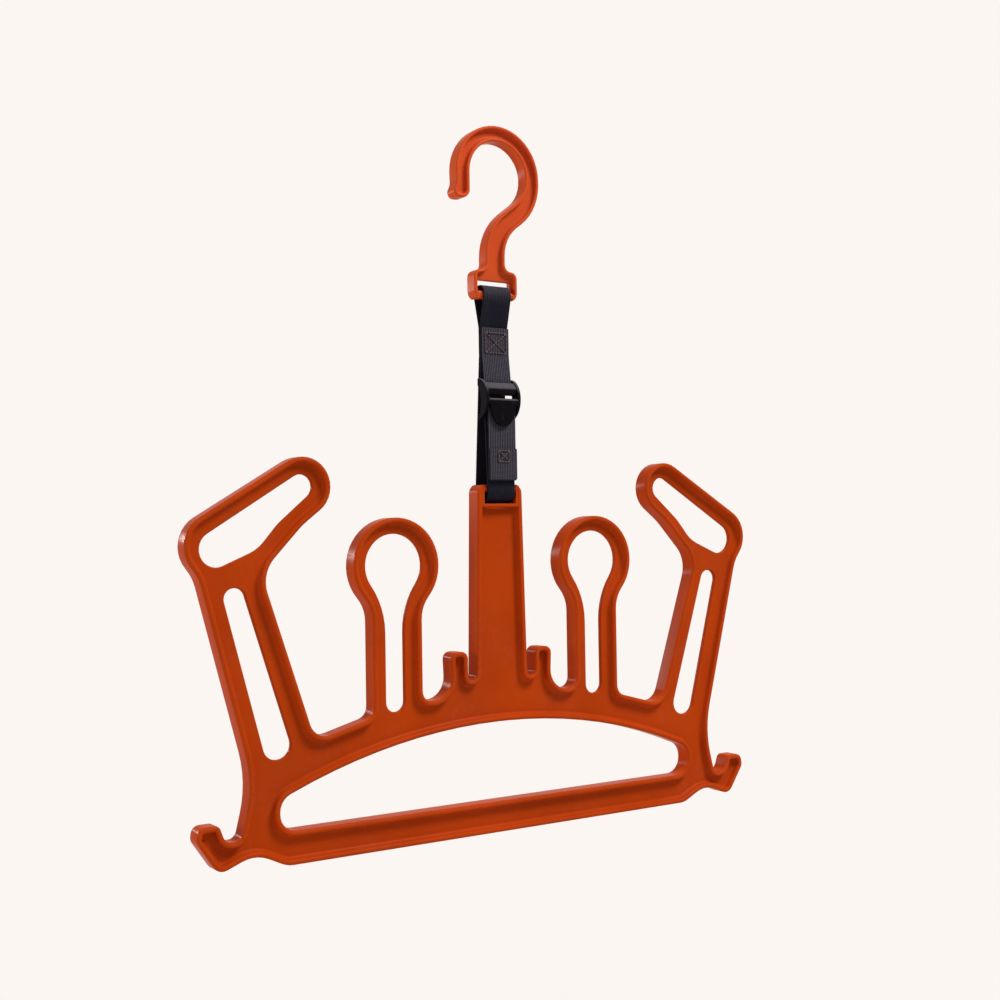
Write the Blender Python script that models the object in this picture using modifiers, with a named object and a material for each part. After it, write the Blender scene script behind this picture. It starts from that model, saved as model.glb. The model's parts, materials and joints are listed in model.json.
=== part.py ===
"""Wetsuit hanger: a ribbed moulded frame that hangs by a webbing strap from a moulded hook.

X runs to the right, Y away from the viewer and Z up. The origin is the seat of the hook, the
point of its arch that lies on a rod, straight above the middle of the frame.
"""

import math

import bmesh
import bpy
from mathutils import Matrix, Vector

MM = 0.001
CHORD_ERROR = 0.09 * MM
LARGEST_STEP = math.radians(17)
WELD = 0.01 * MM
POINT_GAP = 0.25 * MM
CUT_OVERRUN = 4 * MM
FIT_GAP = 0.3 * MM
HEAD_STEP = 0.2 * MM
HEAD_JOIN = 1.5 * MM
BAR_ROUNDING_SHARE = 0.96
ALIGNED_SHARE = 0.99
SHARP_ANGLE = math.radians(30)
ROD_SIDES = 16
EDGE_STEPS = 5
TO_FRONT_VIEW = Matrix.Rotation(math.pi / 2, 4, "X")
TO_SIDE_VIEW = Matrix.Rotation(math.pi / 2, 4, "Z") @ TO_FRONT_VIEW

# Hook moulding
HOOK_SEAT_RADIUS = 26 * MM
HOOK_ARCH_OFFSET = 3.5 * MM
HOOK_LIMB = 12.2 * MM
HOOK_STEM_LIMB = 13.9 * MM
HOOK_DEPTH = 12 * MM
HOOK_WEB = 3.8 * MM
HOOK_RIM = 2.5 * MM
HOOK_LEAVE_ANGLE = math.radians(-52)
HOOK_STEM_DROP = 48.4 * MM
HOOK_STEM_RADIUS = 42 * MM
HOOK_INNER_BEND_DROP = 68 * MM
HOOK_INNER_BEND_RADIUS = 46 * MM
HOOK_OUTER_BEND_DROP = 74.6 * MM
HOOK_OUTER_BEND_RADIUS = 29 * MM
HOOK_NECK_WIDTH = 17.4 * MM
HOOK_SHOULDER_DROP = 101 * MM
HOOK_SHOULDER_RADIUS = 5.6 * MM
HOOK_BASE_WIDTH = 39.4 * MM
HOOK_BASE_RADIUS = 7.5 * MM
HOOK_BASE_LIP = 1 * MM
HOOK_BAR_DROP = 120.3 * MM
HOOK_BAR_HEIGHT = 6 * MM
HOOK_SLOT_WIDTH = 30 * MM
HOOK_SLOT_HEIGHT = 8.3 * MM

# The hook's tip, from its outer side to its inner: shares of the arch's outer radius, of the
# bar's drop and, for each fillet, of the limb
HOOK_TIP_SHARES = (
    (-0.990, 0.300, 0.66),
    (-1.062, 0.350, 0.37),
    (-1.020, 0.393, 0.37),
    (-0.681, 0.393, 0.58),
)

# Frame moulding, whose drops are measured from the top of its mast, and whose walls and rises
# are measured up from the crown of its wide opening
FRAME_HALF_WIDTH = 254 * MM
FRAME_HEIGHT = 267 * MM
FRAME_DEPTH = 15 * MM
FRAME_WEB = 4 * MM
FRAME_RIM = 3.6 * MM
WALL_DRAFT = 0.5 * MM

MAST_TOP_HALF = 20.2 * MM
MAST_FOOT_HALF = 23.2 * MM
MAST_CORNER_RADIUS = 6.5 * MM
MAST_SLOT_HALF = 14.5 * MM
MAST_SLOT_DROP = 14.8 * MM
MAST_POST = 3 * MM
MAST_RIB = 2.7 * MM
CROSSBAR_HEIGHT = 6 * MM

NOTCH_WIDTH = 7.8 * MM
NOTCH_RISE = 33.4 * MM
MAST_HOOK_WIDTH = 15.4 * MM
MAST_HOOK_RISE = 55.4 * MM
MAST_HOOK_RADIUS = 5.6 * MM
MAST_HOOK_TAPER = 1.6 * MM
CRADLE_WALL = 20.4 * MM
CRADLE_RADIUS = 16 * MM
CRADLE_CORNER_RADIUS = 8 * MM

PRONG_X = 91.4 * MM
PRONG_HEAD_DROP = 60.4 * MM
PRONG_HOLE_RADIUS = 23.6 * MM
PRONG_HEAD_WALL = 12 * MM
PRONG_SLOT_HALF = 7.6 * MM
PRONG_SLOT_WALL = 14.1 * MM
PRONG_LEG = 12.9 * MM
PRONG_OUTER_FILLET = 26 * MM
PRONG_HOLE_FILLET = 60 * MM
FLOOR_WALL = 12.6 * MM
FLOOR_CORNER_RADIUS = 9 * MM

ARM_LOOP_END_RADIUS = 21.2 * MM
ARM_LOOP_TIP_RADIUS = 23.5 * MM
ARM_LOOP_END_WALL = 12.4 * MM
ARM_LOOP_TIP_WALL = 11 * MM

OPENING_HALF_WIDTH = 186.2 * MM
OPENING_HEIGHT = 60.8 * MM
OPENING_ARCH_RADIUS = 470 * MM
OPENING_END_RADIUS = 12.6 * MM
BOTTOM_BAR = 23.8 * MM

# Arm, from the middle outwards and down. The centres and corners of its upper part are shares
# of the frame's half width and of its height, and each fillet is a share of the height
ARM_LOOP_END_SHARES = (0.6528, 0.0086)
ARM_LOOP_TIP_SHARES = (0.9075, 0.1629)
ARM_ELBOW_SHARES = (0.7807, 0.2360, 0.090)
ARM_SLOT_TOP_SHARES = ((0.8295, 0.2715, 0.0281), (0.8913, 0.2715, 0.0281))
ARM_HOLE_SHARES = ((0.7795, 0.1723, 0.112), (0.7205, 0.1067, 0.150))

# The corners next to a round end of the arm's loop are shares of that end's radius, from its
# centre, and so is the shift of its hole
ARM_LOOP_END_CORNER_SHARES = (0.057, -1.307)
ARM_LOOP_END_FILLET_SHARE = 0.187
ARM_LOOP_TIP_CORNER_SHARES = (0.570, -0.877)
ARM_LOOP_TIP_FILLET_SHARE = 0.120
ARM_HOLE_TIP_SHIFT_SHARES = (-0.065, -0.085)

# The foot of the arm stands over the end of the wide opening: shares of its half width, of
# its crown's drop and, for each fillet, of the frame's height
ARM_VALLEY_SHARES = (0.8519, 1.0000, 0.050)
ARM_SLOT_FOOT_SHARES = ((1.0425, 1.0608, 0.0375), (0.9238, 1.0608, 0.0375))
ARM_WAIST_SHARES = (1.1068, 1.1382, 0.320)

# End hook: shares of the opening's half width, of the frame's height and, for each fillet, of
# the height
END_HOOK_SHARES = (
    (1.1573, 0.9195, 0.0225),
    (1.2164, 0.9176, 0.0262),
    (1.2405, 0.8708, 0.0170),
    (1.3218, 0.8708, 0.0225),
    (1.3287, 0.9080, 0.0225),
    (1.2433, 0.9955, 0.0300),
    (1.1010, 0.9570, 0.0940),
    (0.9721, 1.0000, 0.0750),
)

# Webbing strap
WEBBING_WIDTH = 25 * MM
WEBBING_THICK = 1.5 * MM
STRAP_SPAN = 150 * MM
SEWN_TOP_DROP = 25.2 * MM
SEWN_LENGTH = 21.6 * MM
HEM_TOP_DROP = 119.6 * MM
HEM_LENGTH = 24.4 * MM

# Ladder-lock buckle, whose drops are measured from its fixed bar
FIXED_BAR_DROP = 68.5 * MM
FIXED_BAR_RADIUS = 1.5 * MM
GRIP_BAR_DROP = 20 * MM
GRIP_BAR_RADIUS = 1.5 * MM
SIDE_PLATE_THICK = 2.4 * MM
SIDE_PLATE_HEIGHT = 33.5 * MM
SIDE_PLATE_BULGE = 12.2 * MM
SIDE_CLEARANCE = 0.7 * MM
BUCKLE_JOIN = 0.8 * MM
UPPER_BAR_DROP = 6.2 * MM
UPPER_BAR_REACH = 9.7 * MM
LOWER_BAR_DROP = 15.7 * MM
FRONT_BAR_HEIGHT = 4.8 * MM
FRONT_BAR_THICK = 3.2 * MM
FRONT_BAR_ROUNDING = 1.4 * MM
TAB_SHOULDER_DROP = 21 * MM
TAB_TIP_DROP = 34 * MM
TAB_TIP_HALF = 9 * MM
TAB_TIP_RADIUS = 8 * MM
TAB_SHOULDER_RADIUS = 6 * MM
TAB_THICK = 2.2 * MM

# Side plate, forward from the fixed bar and down: shares of the bulge, of the height and,
# for each fillet, of the height
SIDE_PLATE_SHARES = (
    (-0.16, -0.11, 0.05),
    (0.20, -0.11, 0.16),
    (1.00, 0.30, 0.22),
    (0.92, 0.62, 0.22),
    (0.45, 0.84, 0.10),
    (-0.16, 0.66, 0.12),
)

# Stitching
THREAD_WIDTH = 1.1 * MM
THREAD_RISE = 0.5 * MM
BOX_STITCH_WIDTH = 20 * MM
BOX_STITCH_HEIGHT = 16.6 * MM
BOX_STITCH_DROP = 3.6 * MM
TACK_WIDTH = 11 * MM
TACK_HEIGHT = 9.5 * MM
TACK_DROP = 1.2 * MM

# Places that follow from the sizes above
ARCH_CENTRE = (HOOK_ARCH_OFFSET, -math.sqrt(HOOK_SEAT_RADIUS**2 - HOOK_ARCH_OFFSET**2))
HOOK_PIVOT = Vector((0, 0, -HOOK_BAR_DROP))
OPENING_CROWN_DROP = FRAME_HEIGHT - BOTTOM_BAR - OPENING_HEIGHT
FLOOR_DROP = OPENING_CROWN_DROP - FLOOR_WALL
CRADLE_DROP = OPENING_CROWN_DROP - CRADLE_WALL
PRONG_SLOT_DROP = OPENING_CROWN_DROP - PRONG_SLOT_WALL
NOTCH_DROP = OPENING_CROWN_DROP - NOTCH_RISE
MAST_HOOK_DROP = OPENING_CROWN_DROP - MAST_HOOK_RISE
SEWN_PIVOT = HOOK_PIVOT - Vector((0, 0, SEWN_TOP_DROP))
MAST_PIVOT = HOOK_PIVOT - Vector((0, 0, STRAP_SPAN))
FRAME_TOP = MAST_PIVOT + Vector((0, 0, CROSSBAR_HEIGHT / 2))
LAYER_PITCH = WEBBING_THICK + FIT_GAP
HALF_LAYER = WEBBING_THICK / 2
BACK_LAYER = LAYER_PITCH / 2
FRONT_LAYER = BACK_LAYER - LAYER_PITCH
FLAP_LAYER = FRONT_LAYER - LAYER_PITCH
SEWN_BOTTOM = SEWN_PIVOT.z - SEWN_LENGTH
HOOK_LOOP_RADIUS = HOOK_DEPTH / 2 + FIT_GAP + HALF_LAYER
MAST_LOOP_RADIUS = FRAME_DEPTH / 2 + FIT_GAP + HALF_LAYER
FIXED_WRAP_RADIUS = FIXED_BAR_RADIUS + FIT_GAP + HALF_LAYER
GRIP_WRAP_RADIUS = GRIP_BAR_RADIUS + FIT_GAP + HALF_LAYER
BUCKLE_PIVOT = Vector((0, FLAP_LAYER, HOOK_PIVOT.z - FIXED_BAR_DROP))
TAIL_LAYER = -(MAST_LOOP_RADIUS + LAYER_PITCH)
GRIP_BAR = (TAIL_LAYER + GRIP_WRAP_RADIUS, BUCKLE_PIVOT.z - GRIP_BAR_DROP)
HEM_PIVOT = Vector((0, TAIL_LAYER, HOOK_PIVOT.z - HEM_TOP_DROP))
TAB_BACK = TAIL_LAYER - HALF_LAYER - FIT_GAP
PLATE_INSIDE = WEBBING_WIDTH / 2 + SIDE_CLEARANCE

# Finishes: colour and roughness
RED_PLASTIC = ((0.40, 0.043, 0.007), 0.42)
HOOK_PLASTIC = ((0.58, 0.075, 0.018), 0.38)
DARK_WEBBING = ((0.036, 0.034, 0.047), 0.9)
BLACK_PLASTIC = ((0.006, 0.006, 0.008), 0.25)
MAROON_THREAD = ((0.065, 0.018, 0.022), 0.7)


def arc(centre, radius, start, end):
    """Points on a circle from one angle to another, both ends included."""
    step = min(LARGEST_STEP, 2 * math.acos(max(0, 1 - CHORD_ERROR / radius)))
    count = max(2, math.ceil(abs(end - start) / step))
    angles = [start + (end - start) * i / count for i in range(count + 1)]
    return [
        (centre[0] + radius * math.cos(a), centre[1] + radius * math.sin(a))
        for a in angles
    ]


def polar(centre, radius, angle):
    return (
        centre[0] + radius * math.cos(angle),
        centre[1] + radius * math.sin(angle),
    )


def plain(points):
    """Outline points that take no fillet."""
    return [(x, z, 0) for x, z in points]


def fillet(before, corner, after, radius, reach):
    """The arc that rounds one corner, its tangent length limited to the reach."""
    back = Vector(before) - Vector(corner)
    ahead = Vector(after) - Vector(corner)
    half = back.angle(ahead) / 2
    tangent = min(radius / math.tan(half), reach)
    radius = tangent * math.tan(half)
    first = Vector(corner) + back.normalized() * tangent
    last = Vector(corner) + ahead.normalized() * tangent
    middle = (back.normalized() + ahead.normalized()).normalized()
    centre = Vector(corner) + middle * (radius / math.sin(half))
    start = math.atan2(first.y - centre.y, first.x - centre.x)
    end = math.atan2(last.y - centre.y, last.x - centre.x)
    if end - start > math.pi:
        end -= 2 * math.pi
    if start - end > math.pi:
        end += 2 * math.pi
    return arc(centre, radius, start, end)


def spaced(outline):
    """An outline without the points that crowd the one before them."""
    kept = [outline[0]]
    for point in outline[1:]:
        if math.dist(point, kept[-1]) > POINT_GAP:
            kept.append(point)
    if math.dist(kept[-1], kept[0]) < POINT_GAP:
        kept.pop()
    return kept


def rounded(corners):
    """A closed outline from corners (x, z, radius), each fillet limited by its two walls."""
    places = [Vector(corner[:2]) for corner in corners]
    count = len(corners)
    tangents = []
    for i, corner in enumerate(corners):
        back = places[i - 1] - places[i]
        ahead = places[(i + 1) % count] - places[i]
        turn = back.angle(ahead) / 2
        tangents.append(corner[2] / math.tan(turn) if corner[2] else 0)
    outline = []
    for i, corner in enumerate(corners):
        if not corner[2]:
            outline.append(corner[:2])
            continue
        reach = tangents[i]
        for j in (i - 1, (i + 1) % count):
            wall = (places[j] - places[i]).length
            wanted = tangents[i] + tangents[j]
            if wanted > wall:
                reach = min(reach, wall * tangents[i] / wanted)
        after = places[(i + 1) % count]
        outline += fillet(places[i - 1], places[i], after, corner[2], reach)
    return spaced(outline)


def mirrored(points):
    """The right half of an outline, given from top to bottom, with its left half added."""
    left = [(-x, z) for x, z in reversed(points) if x > WELD]
    return points + left


def keyhole_head(centre, radius, leg, blend):
    """A round head on a straight leg: its points from the left leg over the top to the right."""
    drop = math.sqrt((radius + blend) ** 2 - (leg + blend) ** 2)
    lean = math.atan2(drop, leg + blend)
    low = centre[1] - drop
    left = arc((centre[0] - leg - blend, low), blend, 0, lean)
    head = arc(centre, radius, math.pi + lean, -lean)
    right = arc((centre[0] + leg + blend, low), blend, math.pi - lean, math.pi)
    return left + head[1:-1] + right


def flat_curve(name, outlines, half_thickness):
    """A 2D curve filled between its outlines."""
    curve = bpy.data.curves.new(name, "CURVE")
    curve.dimensions = "2D"
    curve.fill_mode = "BOTH"
    curve.extrude = half_thickness
    for outline in outlines:
        spline = curve.splines.new("POLY")
        spline.points.add(len(outline) - 1)
        for point, (x, z) in zip(spline.points, outline):
            point.co = (x, z, 0, 1)
        spline.use_cyclic_u = True
    return curve


def curve_to_mesh(name, curve):
    """The mesh of a curve, with its loose caps welded, and the curve removed."""
    holder = bpy.data.objects.new(name, curve)
    bpy.context.scene.collection.objects.link(holder)
    graph = bpy.context.evaluated_depsgraph_get()
    mesh = bpy.data.meshes.new_from_object(holder.evaluated_get(graph))
    mesh.name = name
    bpy.data.objects.remove(holder)
    bpy.data.curves.remove(curve)
    bm = bmesh.new()
    bm.from_mesh(mesh)
    bmesh.ops.remove_doubles(bm, verts=bm.verts, dist=WELD)
    bmesh.ops.dissolve_degenerate(bm, edges=bm.edges, dist=WELD)
    bmesh.ops.recalc_face_normals(bm, faces=bm.faces)
    bm.to_mesh(mesh)
    bm.free()
    return mesh


def upright_slab(name, outlines, thickness):
    """A plate that stands in the XZ plane, centred on Y = 0."""
    mesh = curve_to_mesh(name, flat_curve(name, outlines, thickness / 2))
    mesh.transform(TO_FRONT_VIEW)
    return mesh


def side_slab(name, outline, thickness):
    """A plate that stands in the YZ plane, centred on X = 0, from points (y, z)."""
    mesh = curve_to_mesh(name, flat_curve(name, [outline], thickness / 2))
    mesh.transform(TO_SIDE_VIEW)
    return mesh


def recess_faces(mesh, rim, web, depth):
    """Sinks both faces of an upright slab inside a rim, which leaves a thin web."""
    bm = bmesh.new()
    bm.from_mesh(mesh)
    sink = (depth - web) / 2
    for side in (-1, 1):
        bm.normal_update()
        cap = [face for face in bm.faces if face.normal.y * side > ALIGNED_SHARE]
        cap = bmesh.ops.dissolve_faces(bm, faces=cap)["region"]
        for thickness, push in ((rim, 0), (WALL_DRAFT, -sink)):
            bmesh.ops.inset_region(
                bm,
                faces=cap,
                thickness=thickness,
                depth=push,
                use_even_offset=True,
                use_boundary=True,
            )
    bmesh.ops.recalc_face_normals(bm, faces=bm.faces)
    bm.to_mesh(mesh)
    bm.free()


def box_mesh(name, low, high, rounding=0):
    """A box between two corners, whose edges along X can be rounded."""
    bm = bmesh.new()
    bmesh.ops.create_cube(bm, size=1)
    size = Vector(high) - Vector(low)
    bmesh.ops.scale(bm, vec=size, verts=bm.verts)
    bmesh.ops.translate(bm, vec=(Vector(high) + Vector(low)) / 2, verts=bm.verts)
    if rounding:
        along = [e for e in bm.edges if abs(e.verts[0].co.x - e.verts[1].co.x) > WELD]
        bmesh.ops.bevel(
            bm,
            geom=along,
            offset=rounding,
            offset_type="OFFSET",
            segments=EDGE_STEPS,
            profile=0.5,
            affect="EDGES",
        )
    mesh = bpy.data.meshes.new(name)
    bm.to_mesh(mesh)
    bm.free()
    return mesh


def rod_mesh(name, place, radius, length):
    """A round bar along X at (y, z)."""
    bm = bmesh.new()
    bmesh.ops.create_cone(
        bm,
        cap_ends=True,
        segments=ROD_SIDES,
        radius1=radius,
        radius2=radius,
        depth=length,
        matrix=Matrix.Translation((0, *place)) @ Matrix.Rotation(math.pi / 2, 4, "Y"),
    )
    mesh = bpy.data.meshes.new(name)
    bm.to_mesh(mesh)
    bm.free()
    return mesh


def material(name, finish):
    colour, roughness = finish
    made = bpy.data.materials.new(name)
    made.use_nodes = True
    surface = made.node_tree.nodes["Principled BSDF"]
    surface.inputs["Base Color"].default_value = (*colour, 1)
    surface.inputs["Roughness"].default_value = roughness
    surface.inputs["Metallic"].default_value = 0
    return made


def clear_scene():
    for item in list(bpy.data.objects):
        bpy.data.objects.remove(item)


def add_collection(name):
    collection = bpy.data.collections.new(name)
    bpy.context.scene.collection.children.link(collection)
    return collection


def world_place(item):
    """Where an unturned object stands, through all its parents."""
    place = item.location.copy()
    while item.parent:
        item = item.parent
        place += item.location
    return place


def add_joint(collection, name, place, parent=None):
    """An empty on a joint's axis, which carries the pieces that move with it."""
    empty = bpy.data.objects.new(name, None)
    empty.empty_display_size = FRAME_DEPTH
    collection.objects.link(empty)
    empty.location = place
    if parent:
        empty.location = place - world_place(parent)
        empty.parent = parent
    return empty


def add_piece(collection, name, mesh, carrier, finish):
    """An object for one sub-part, its origin on the joint that carries it."""
    mesh.transform(Matrix.Translation(-world_place(carrier)))
    mesh.materials.clear()
    mesh.materials.append(finish)
    mesh.shade_smooth()
    mesh.set_sharp_from_angle(angle=SHARP_ANGLE)
    piece = bpy.data.objects.new(name, mesh)
    collection.objects.link(piece)
    piece.parent = carrier
    return piece


def add_boolean(piece, cutters, mesh, operation):
    """Joins or cuts a piece with a helper that isn't rendered."""
    mesh.transform(Matrix.Translation(-world_place(piece.parent)))
    helper = bpy.data.objects.new(mesh.name, mesh)
    cutters.objects.link(helper)
    helper.parent = piece.parent
    helper.hide_render = True
    helper.display_type = "WIRE"
    change = piece.modifiers.new(mesh.name, "BOOLEAN")
    change.operation = operation
    change.object = helper
    change.solver = "EXACT"


def tangent_angle(centre, radius, point, side):
    """The angle at which a line from an outside point touches a circle, on one of its sides."""
    toward = math.atan2(point[1] - centre[1], point[0] - centre[0])
    return toward + side * math.acos(radius / math.dist(point[:2], centre))


def loop_ends(end, end_radius, tip, tip_radius, before, after):
    """The two round ends of an arm's loop, joined over its top by a straight side.

    They run clockwise, from the touch of the line that comes from one corner to the touch of
    the line that goes on to the next.
    """
    run = Vector(tip) - Vector(end)
    lean = math.atan2(run.y, run.x) + math.acos((end_radius - tip_radius) / run.length)
    start = tangent_angle(end, end_radius, before, -1)
    finish = tangent_angle(tip, tip_radius, after, 1)
    start = lean + (start - lean) % math.tau
    finish = lean - (lean - finish) % math.tau
    return arc(end, end_radius, start, lean) + arc(tip, tip_radius, lean, finish)


def corners_from(half_width, drop, shares):
    """Corners of the frame from shares of a half width and of a drop."""
    return [(half_width * x, -drop * z, FRAME_HEIGHT * r) for x, z, r in shares]


def loop_centre(shares):
    """The centre of a round end of the arm's loop."""
    return (FRAME_HALF_WIDTH * shares[0], -FRAME_HEIGHT * shares[1])


def beside(centre, radius, shares):
    """A place beside a round end, from shares of its radius."""
    return (centre[0] + radius * shares[0], centre[1] + radius * shares[1])


def hook_outline():
    """The hook: over the arch, down the S-bend to the base, up again and round the tip."""
    outer = HOOK_SEAT_RADIUS + HOOK_LIMB
    stem = HOOK_ARCH_OFFSET + HOOK_SEAT_RADIUS + HOOK_STEM_LIMB
    neck = HOOK_NECK_WIDTH / 2
    base = HOOK_BASE_WIDTH / 2
    bottom = -(HOOK_BAR_DROP + HOOK_BAR_HEIGHT / 2 + HOOK_BASE_LIP)
    over = arc(ARCH_CENTRE, outer, math.pi, 0)
    inner = arc(ARCH_CENTRE, HOOK_SEAT_RADIUS, HOOK_LEAVE_ANGLE, math.pi)
    tip = [
        (HOOK_ARCH_OFFSET + outer * x, -HOOK_BAR_DROP * z, HOOK_LIMB * r)
        for x, z, r in HOOK_TIP_SHARES
    ]
    return rounded(
        [
            *plain(over[:-1]),
            (stem, -HOOK_STEM_DROP, HOOK_STEM_RADIUS),
            (neck, -HOOK_OUTER_BEND_DROP, HOOK_OUTER_BEND_RADIUS),
            (neck, -HOOK_SHOULDER_DROP, HOOK_SHOULDER_RADIUS),
            (base, -HOOK_SHOULDER_DROP, HOOK_SHOULDER_RADIUS),
            (base, bottom, HOOK_BASE_RADIUS),
            (-base, bottom, HOOK_BASE_RADIUS),
            (-base, -HOOK_SHOULDER_DROP, HOOK_SHOULDER_RADIUS),
            (-neck, -HOOK_SHOULDER_DROP, HOOK_SHOULDER_RADIUS),
            (-neck, -HOOK_INNER_BEND_DROP, HOOK_INNER_BEND_RADIUS),
            *plain(inner),
            *reversed(tip),
        ]
    )


def frame_side():
    """The outline of the frame's right side, from the top of the mast to the bottom edge."""
    hook_inside = MAST_FOOT_HALF + NOTCH_WIDTH
    hook_outside = hook_inside + MAST_HOOK_WIDTH
    leg = PRONG_SLOT_HALF + PRONG_LEG
    head_radius = PRONG_HOLE_RADIUS + PRONG_HEAD_WALL
    prong = (PRONG_X, -PRONG_HEAD_DROP)
    end = loop_centre(ARM_LOOP_END_SHARES)
    tip = loop_centre(ARM_LOOP_TIP_SHARES)
    inner = beside(end, ARM_LOOP_END_RADIUS, ARM_LOOP_END_CORNER_SHARES)
    outer = beside(tip, ARM_LOOP_TIP_RADIUS, ARM_LOOP_TIP_CORNER_SHARES)
    loop = loop_ends(
        end, ARM_LOOP_END_RADIUS, tip, ARM_LOOP_TIP_RADIUS, inner, outer
    )
    return [
        (MAST_TOP_HALF, 0, MAST_CORNER_RADIUS),
        (MAST_FOOT_HALF, -NOTCH_DROP, NOTCH_WIDTH / 2),
        (hook_inside, -NOTCH_DROP, NOTCH_WIDTH / 2),
        (hook_inside, -MAST_HOOK_DROP, MAST_HOOK_RADIUS),
        (hook_outside, -MAST_HOOK_DROP, MAST_HOOK_RADIUS),
        (hook_outside - MAST_HOOK_TAPER, -CRADLE_DROP, CRADLE_RADIUS),
        (PRONG_X - leg, -CRADLE_DROP, CRADLE_CORNER_RADIUS),
        *plain(keyhole_head(prong, head_radius, leg, PRONG_OUTER_FILLET)),
        (PRONG_X + leg, -FLOOR_DROP, FLOOR_CORNER_RADIUS),
        *corners_from(OPENING_HALF_WIDTH, OPENING_CROWN_DROP, [ARM_VALLEY_SHARES]),
        *corners_from(FRAME_HALF_WIDTH, FRAME_HEIGHT, [ARM_ELBOW_SHARES]),
        (*inner, FRAME_HEIGHT * ARM_LOOP_END_FILLET_SHARE),
        *plain(loop),
        (*outer, FRAME_HEIGHT * ARM_LOOP_TIP_FILLET_SHARE),
        *corners_from(OPENING_HALF_WIDTH, OPENING_CROWN_DROP, [ARM_WAIST_SHARES]),
        *corners_from(OPENING_HALF_WIDTH, FRAME_HEIGHT, END_HOOK_SHARES),
    ]


def opening_side(overlap):
    """The right side of the wide opening, from its floor to its shallow arch."""
    floor = BOTTOM_BAR - FRAME_HEIGHT
    arch_centre = (0, -OPENING_CROWN_DROP - OPENING_ARCH_RADIUS)
    reach = OPENING_ARCH_RADIUS - OPENING_END_RADIUS
    lean = math.acos((OPENING_HALF_WIDTH - OPENING_END_RADIUS) / reach)
    past_middle = math.pi / 2 + math.asin(overlap / OPENING_ARCH_RADIUS)
    end_centre = polar(arch_centre, reach, lean)
    end = arc(end_centre, OPENING_END_RADIUS, 0, lean)
    arch = arc(arch_centre, OPENING_ARCH_RADIUS, lean, past_middle)
    return [
        (-overlap, floor, 0),
        (OPENING_HALF_WIDTH, floor, OPENING_END_RADIUS),
        *plain(end),
        *plain(arch[1:]),
    ]


def half_frame_outline():
    """The right half of the frame, which reaches past the middle so that it can be cut there."""
    overlap = MAST_SLOT_HALF
    return rounded(
        [
            (-overlap, 0, 0),
            *frame_side(),
            (-overlap, -FRAME_HEIGHT, 0),
            *opening_side(overlap),
        ]
    )


def prong_hole_outline():
    """The keyhole of a prong: a round eye over a slot with a round foot."""
    foot = (PRONG_X, PRONG_SLOT_HALF - PRONG_SLOT_DROP)
    eye = (PRONG_X, -PRONG_HEAD_DROP)
    head = keyhole_head(eye, PRONG_HOLE_RADIUS, PRONG_SLOT_HALF, PRONG_HOLE_FILLET)
    return head + arc(foot, PRONG_SLOT_HALF, 0, -math.pi)


def arm_hole_outline():
    """The opening of an arm's loop, a wall's width inside its outline."""
    end = loop_centre(ARM_LOOP_END_SHARES)
    end_radius = ARM_LOOP_END_RADIUS - ARM_LOOP_END_WALL
    tip = loop_centre(ARM_LOOP_TIP_SHARES)
    tip = beside(tip, ARM_LOOP_TIP_RADIUS, ARM_HOLE_TIP_SHIFT_SHARES)
    tip_radius = ARM_LOOP_TIP_RADIUS - ARM_LOOP_TIP_WALL
    lower = corners_from(FRAME_HALF_WIDTH, FRAME_HEIGHT, ARM_HOLE_SHARES)
    ends = loop_ends(end, end_radius, tip, tip_radius, lower[1], lower[0])
    return rounded([*plain(ends), *lower])


def arm_slot_outline():
    """The long slot down the arm."""
    top = corners_from(FRAME_HALF_WIDTH, FRAME_HEIGHT, ARM_SLOT_TOP_SHARES)
    foot = corners_from(OPENING_HALF_WIDTH, OPENING_CROWN_DROP, ARM_SLOT_FOOT_SHARES)
    return rounded([*top, *foot])


def tab_outline():
    """The thumb tab, from the lower front bar down to its round tip."""
    half = PLATE_INSIDE + BUCKLE_JOIN
    right = [
        (0, -LOWER_BAR_DROP, 0),
        (half, -LOWER_BAR_DROP, 0),
        (half, -TAB_SHOULDER_DROP, TAB_SHOULDER_RADIUS),
        (TAB_TIP_HALF, -TAB_TIP_DROP, TAB_TIP_RADIUS),
        (0, -TAB_TIP_DROP, 0),
    ]
    return mirrored(rounded(right))


def side_plate_outline():
    """A side plate of the buckle as points (y, z)."""
    corners = [
        (
            BUCKLE_PIVOT.y - SIDE_PLATE_BULGE * forward,
            BUCKLE_PIVOT.z - SIDE_PLATE_HEIGHT * down,
            SIDE_PLATE_HEIGHT * radius,
        )
        for forward, down, radius in SIDE_PLATE_SHARES
    ]
    return rounded(corners)


def cross_panes(width, height):
    """The four openings that leave a frame of thread with a cross in it."""
    x = width / 2
    z = height / 2
    slant = THREAD_WIDTH * math.hypot(x, z)
    side = slant / z / 2
    rise = slant / x / 2
    inner_x = x - THREAD_WIDTH
    inner_z = z - THREAD_WIDTH
    top = [
        (0, rise),
        (inner_z * x / z - side, inner_z),
        (side - inner_z * x / z, inner_z),
    ]
    right = [
        (side, 0),
        (inner_x, rise - inner_x * z / x),
        (inner_x, inner_x * z / x - rise),
    ]
    return [
        top,
        right,
        [(x, -z) for x, z in top],
        [(-x, z) for x, z in right],
    ]


def stitch_mesh(name, width, height, centre):
    """A box of stitches with a cross, standing a little proud of the webbing at its back."""
    border = [
        (-width / 2, -height / 2),
        (width / 2, -height / 2),
        (width / 2, height / 2),
        (-width / 2, height / 2),
    ]
    mesh = upright_slab(name, [border, *cross_panes(width, height)], THREAD_RISE)
    mesh.transform(Matrix.Translation(centre))
    return mesh


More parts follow.
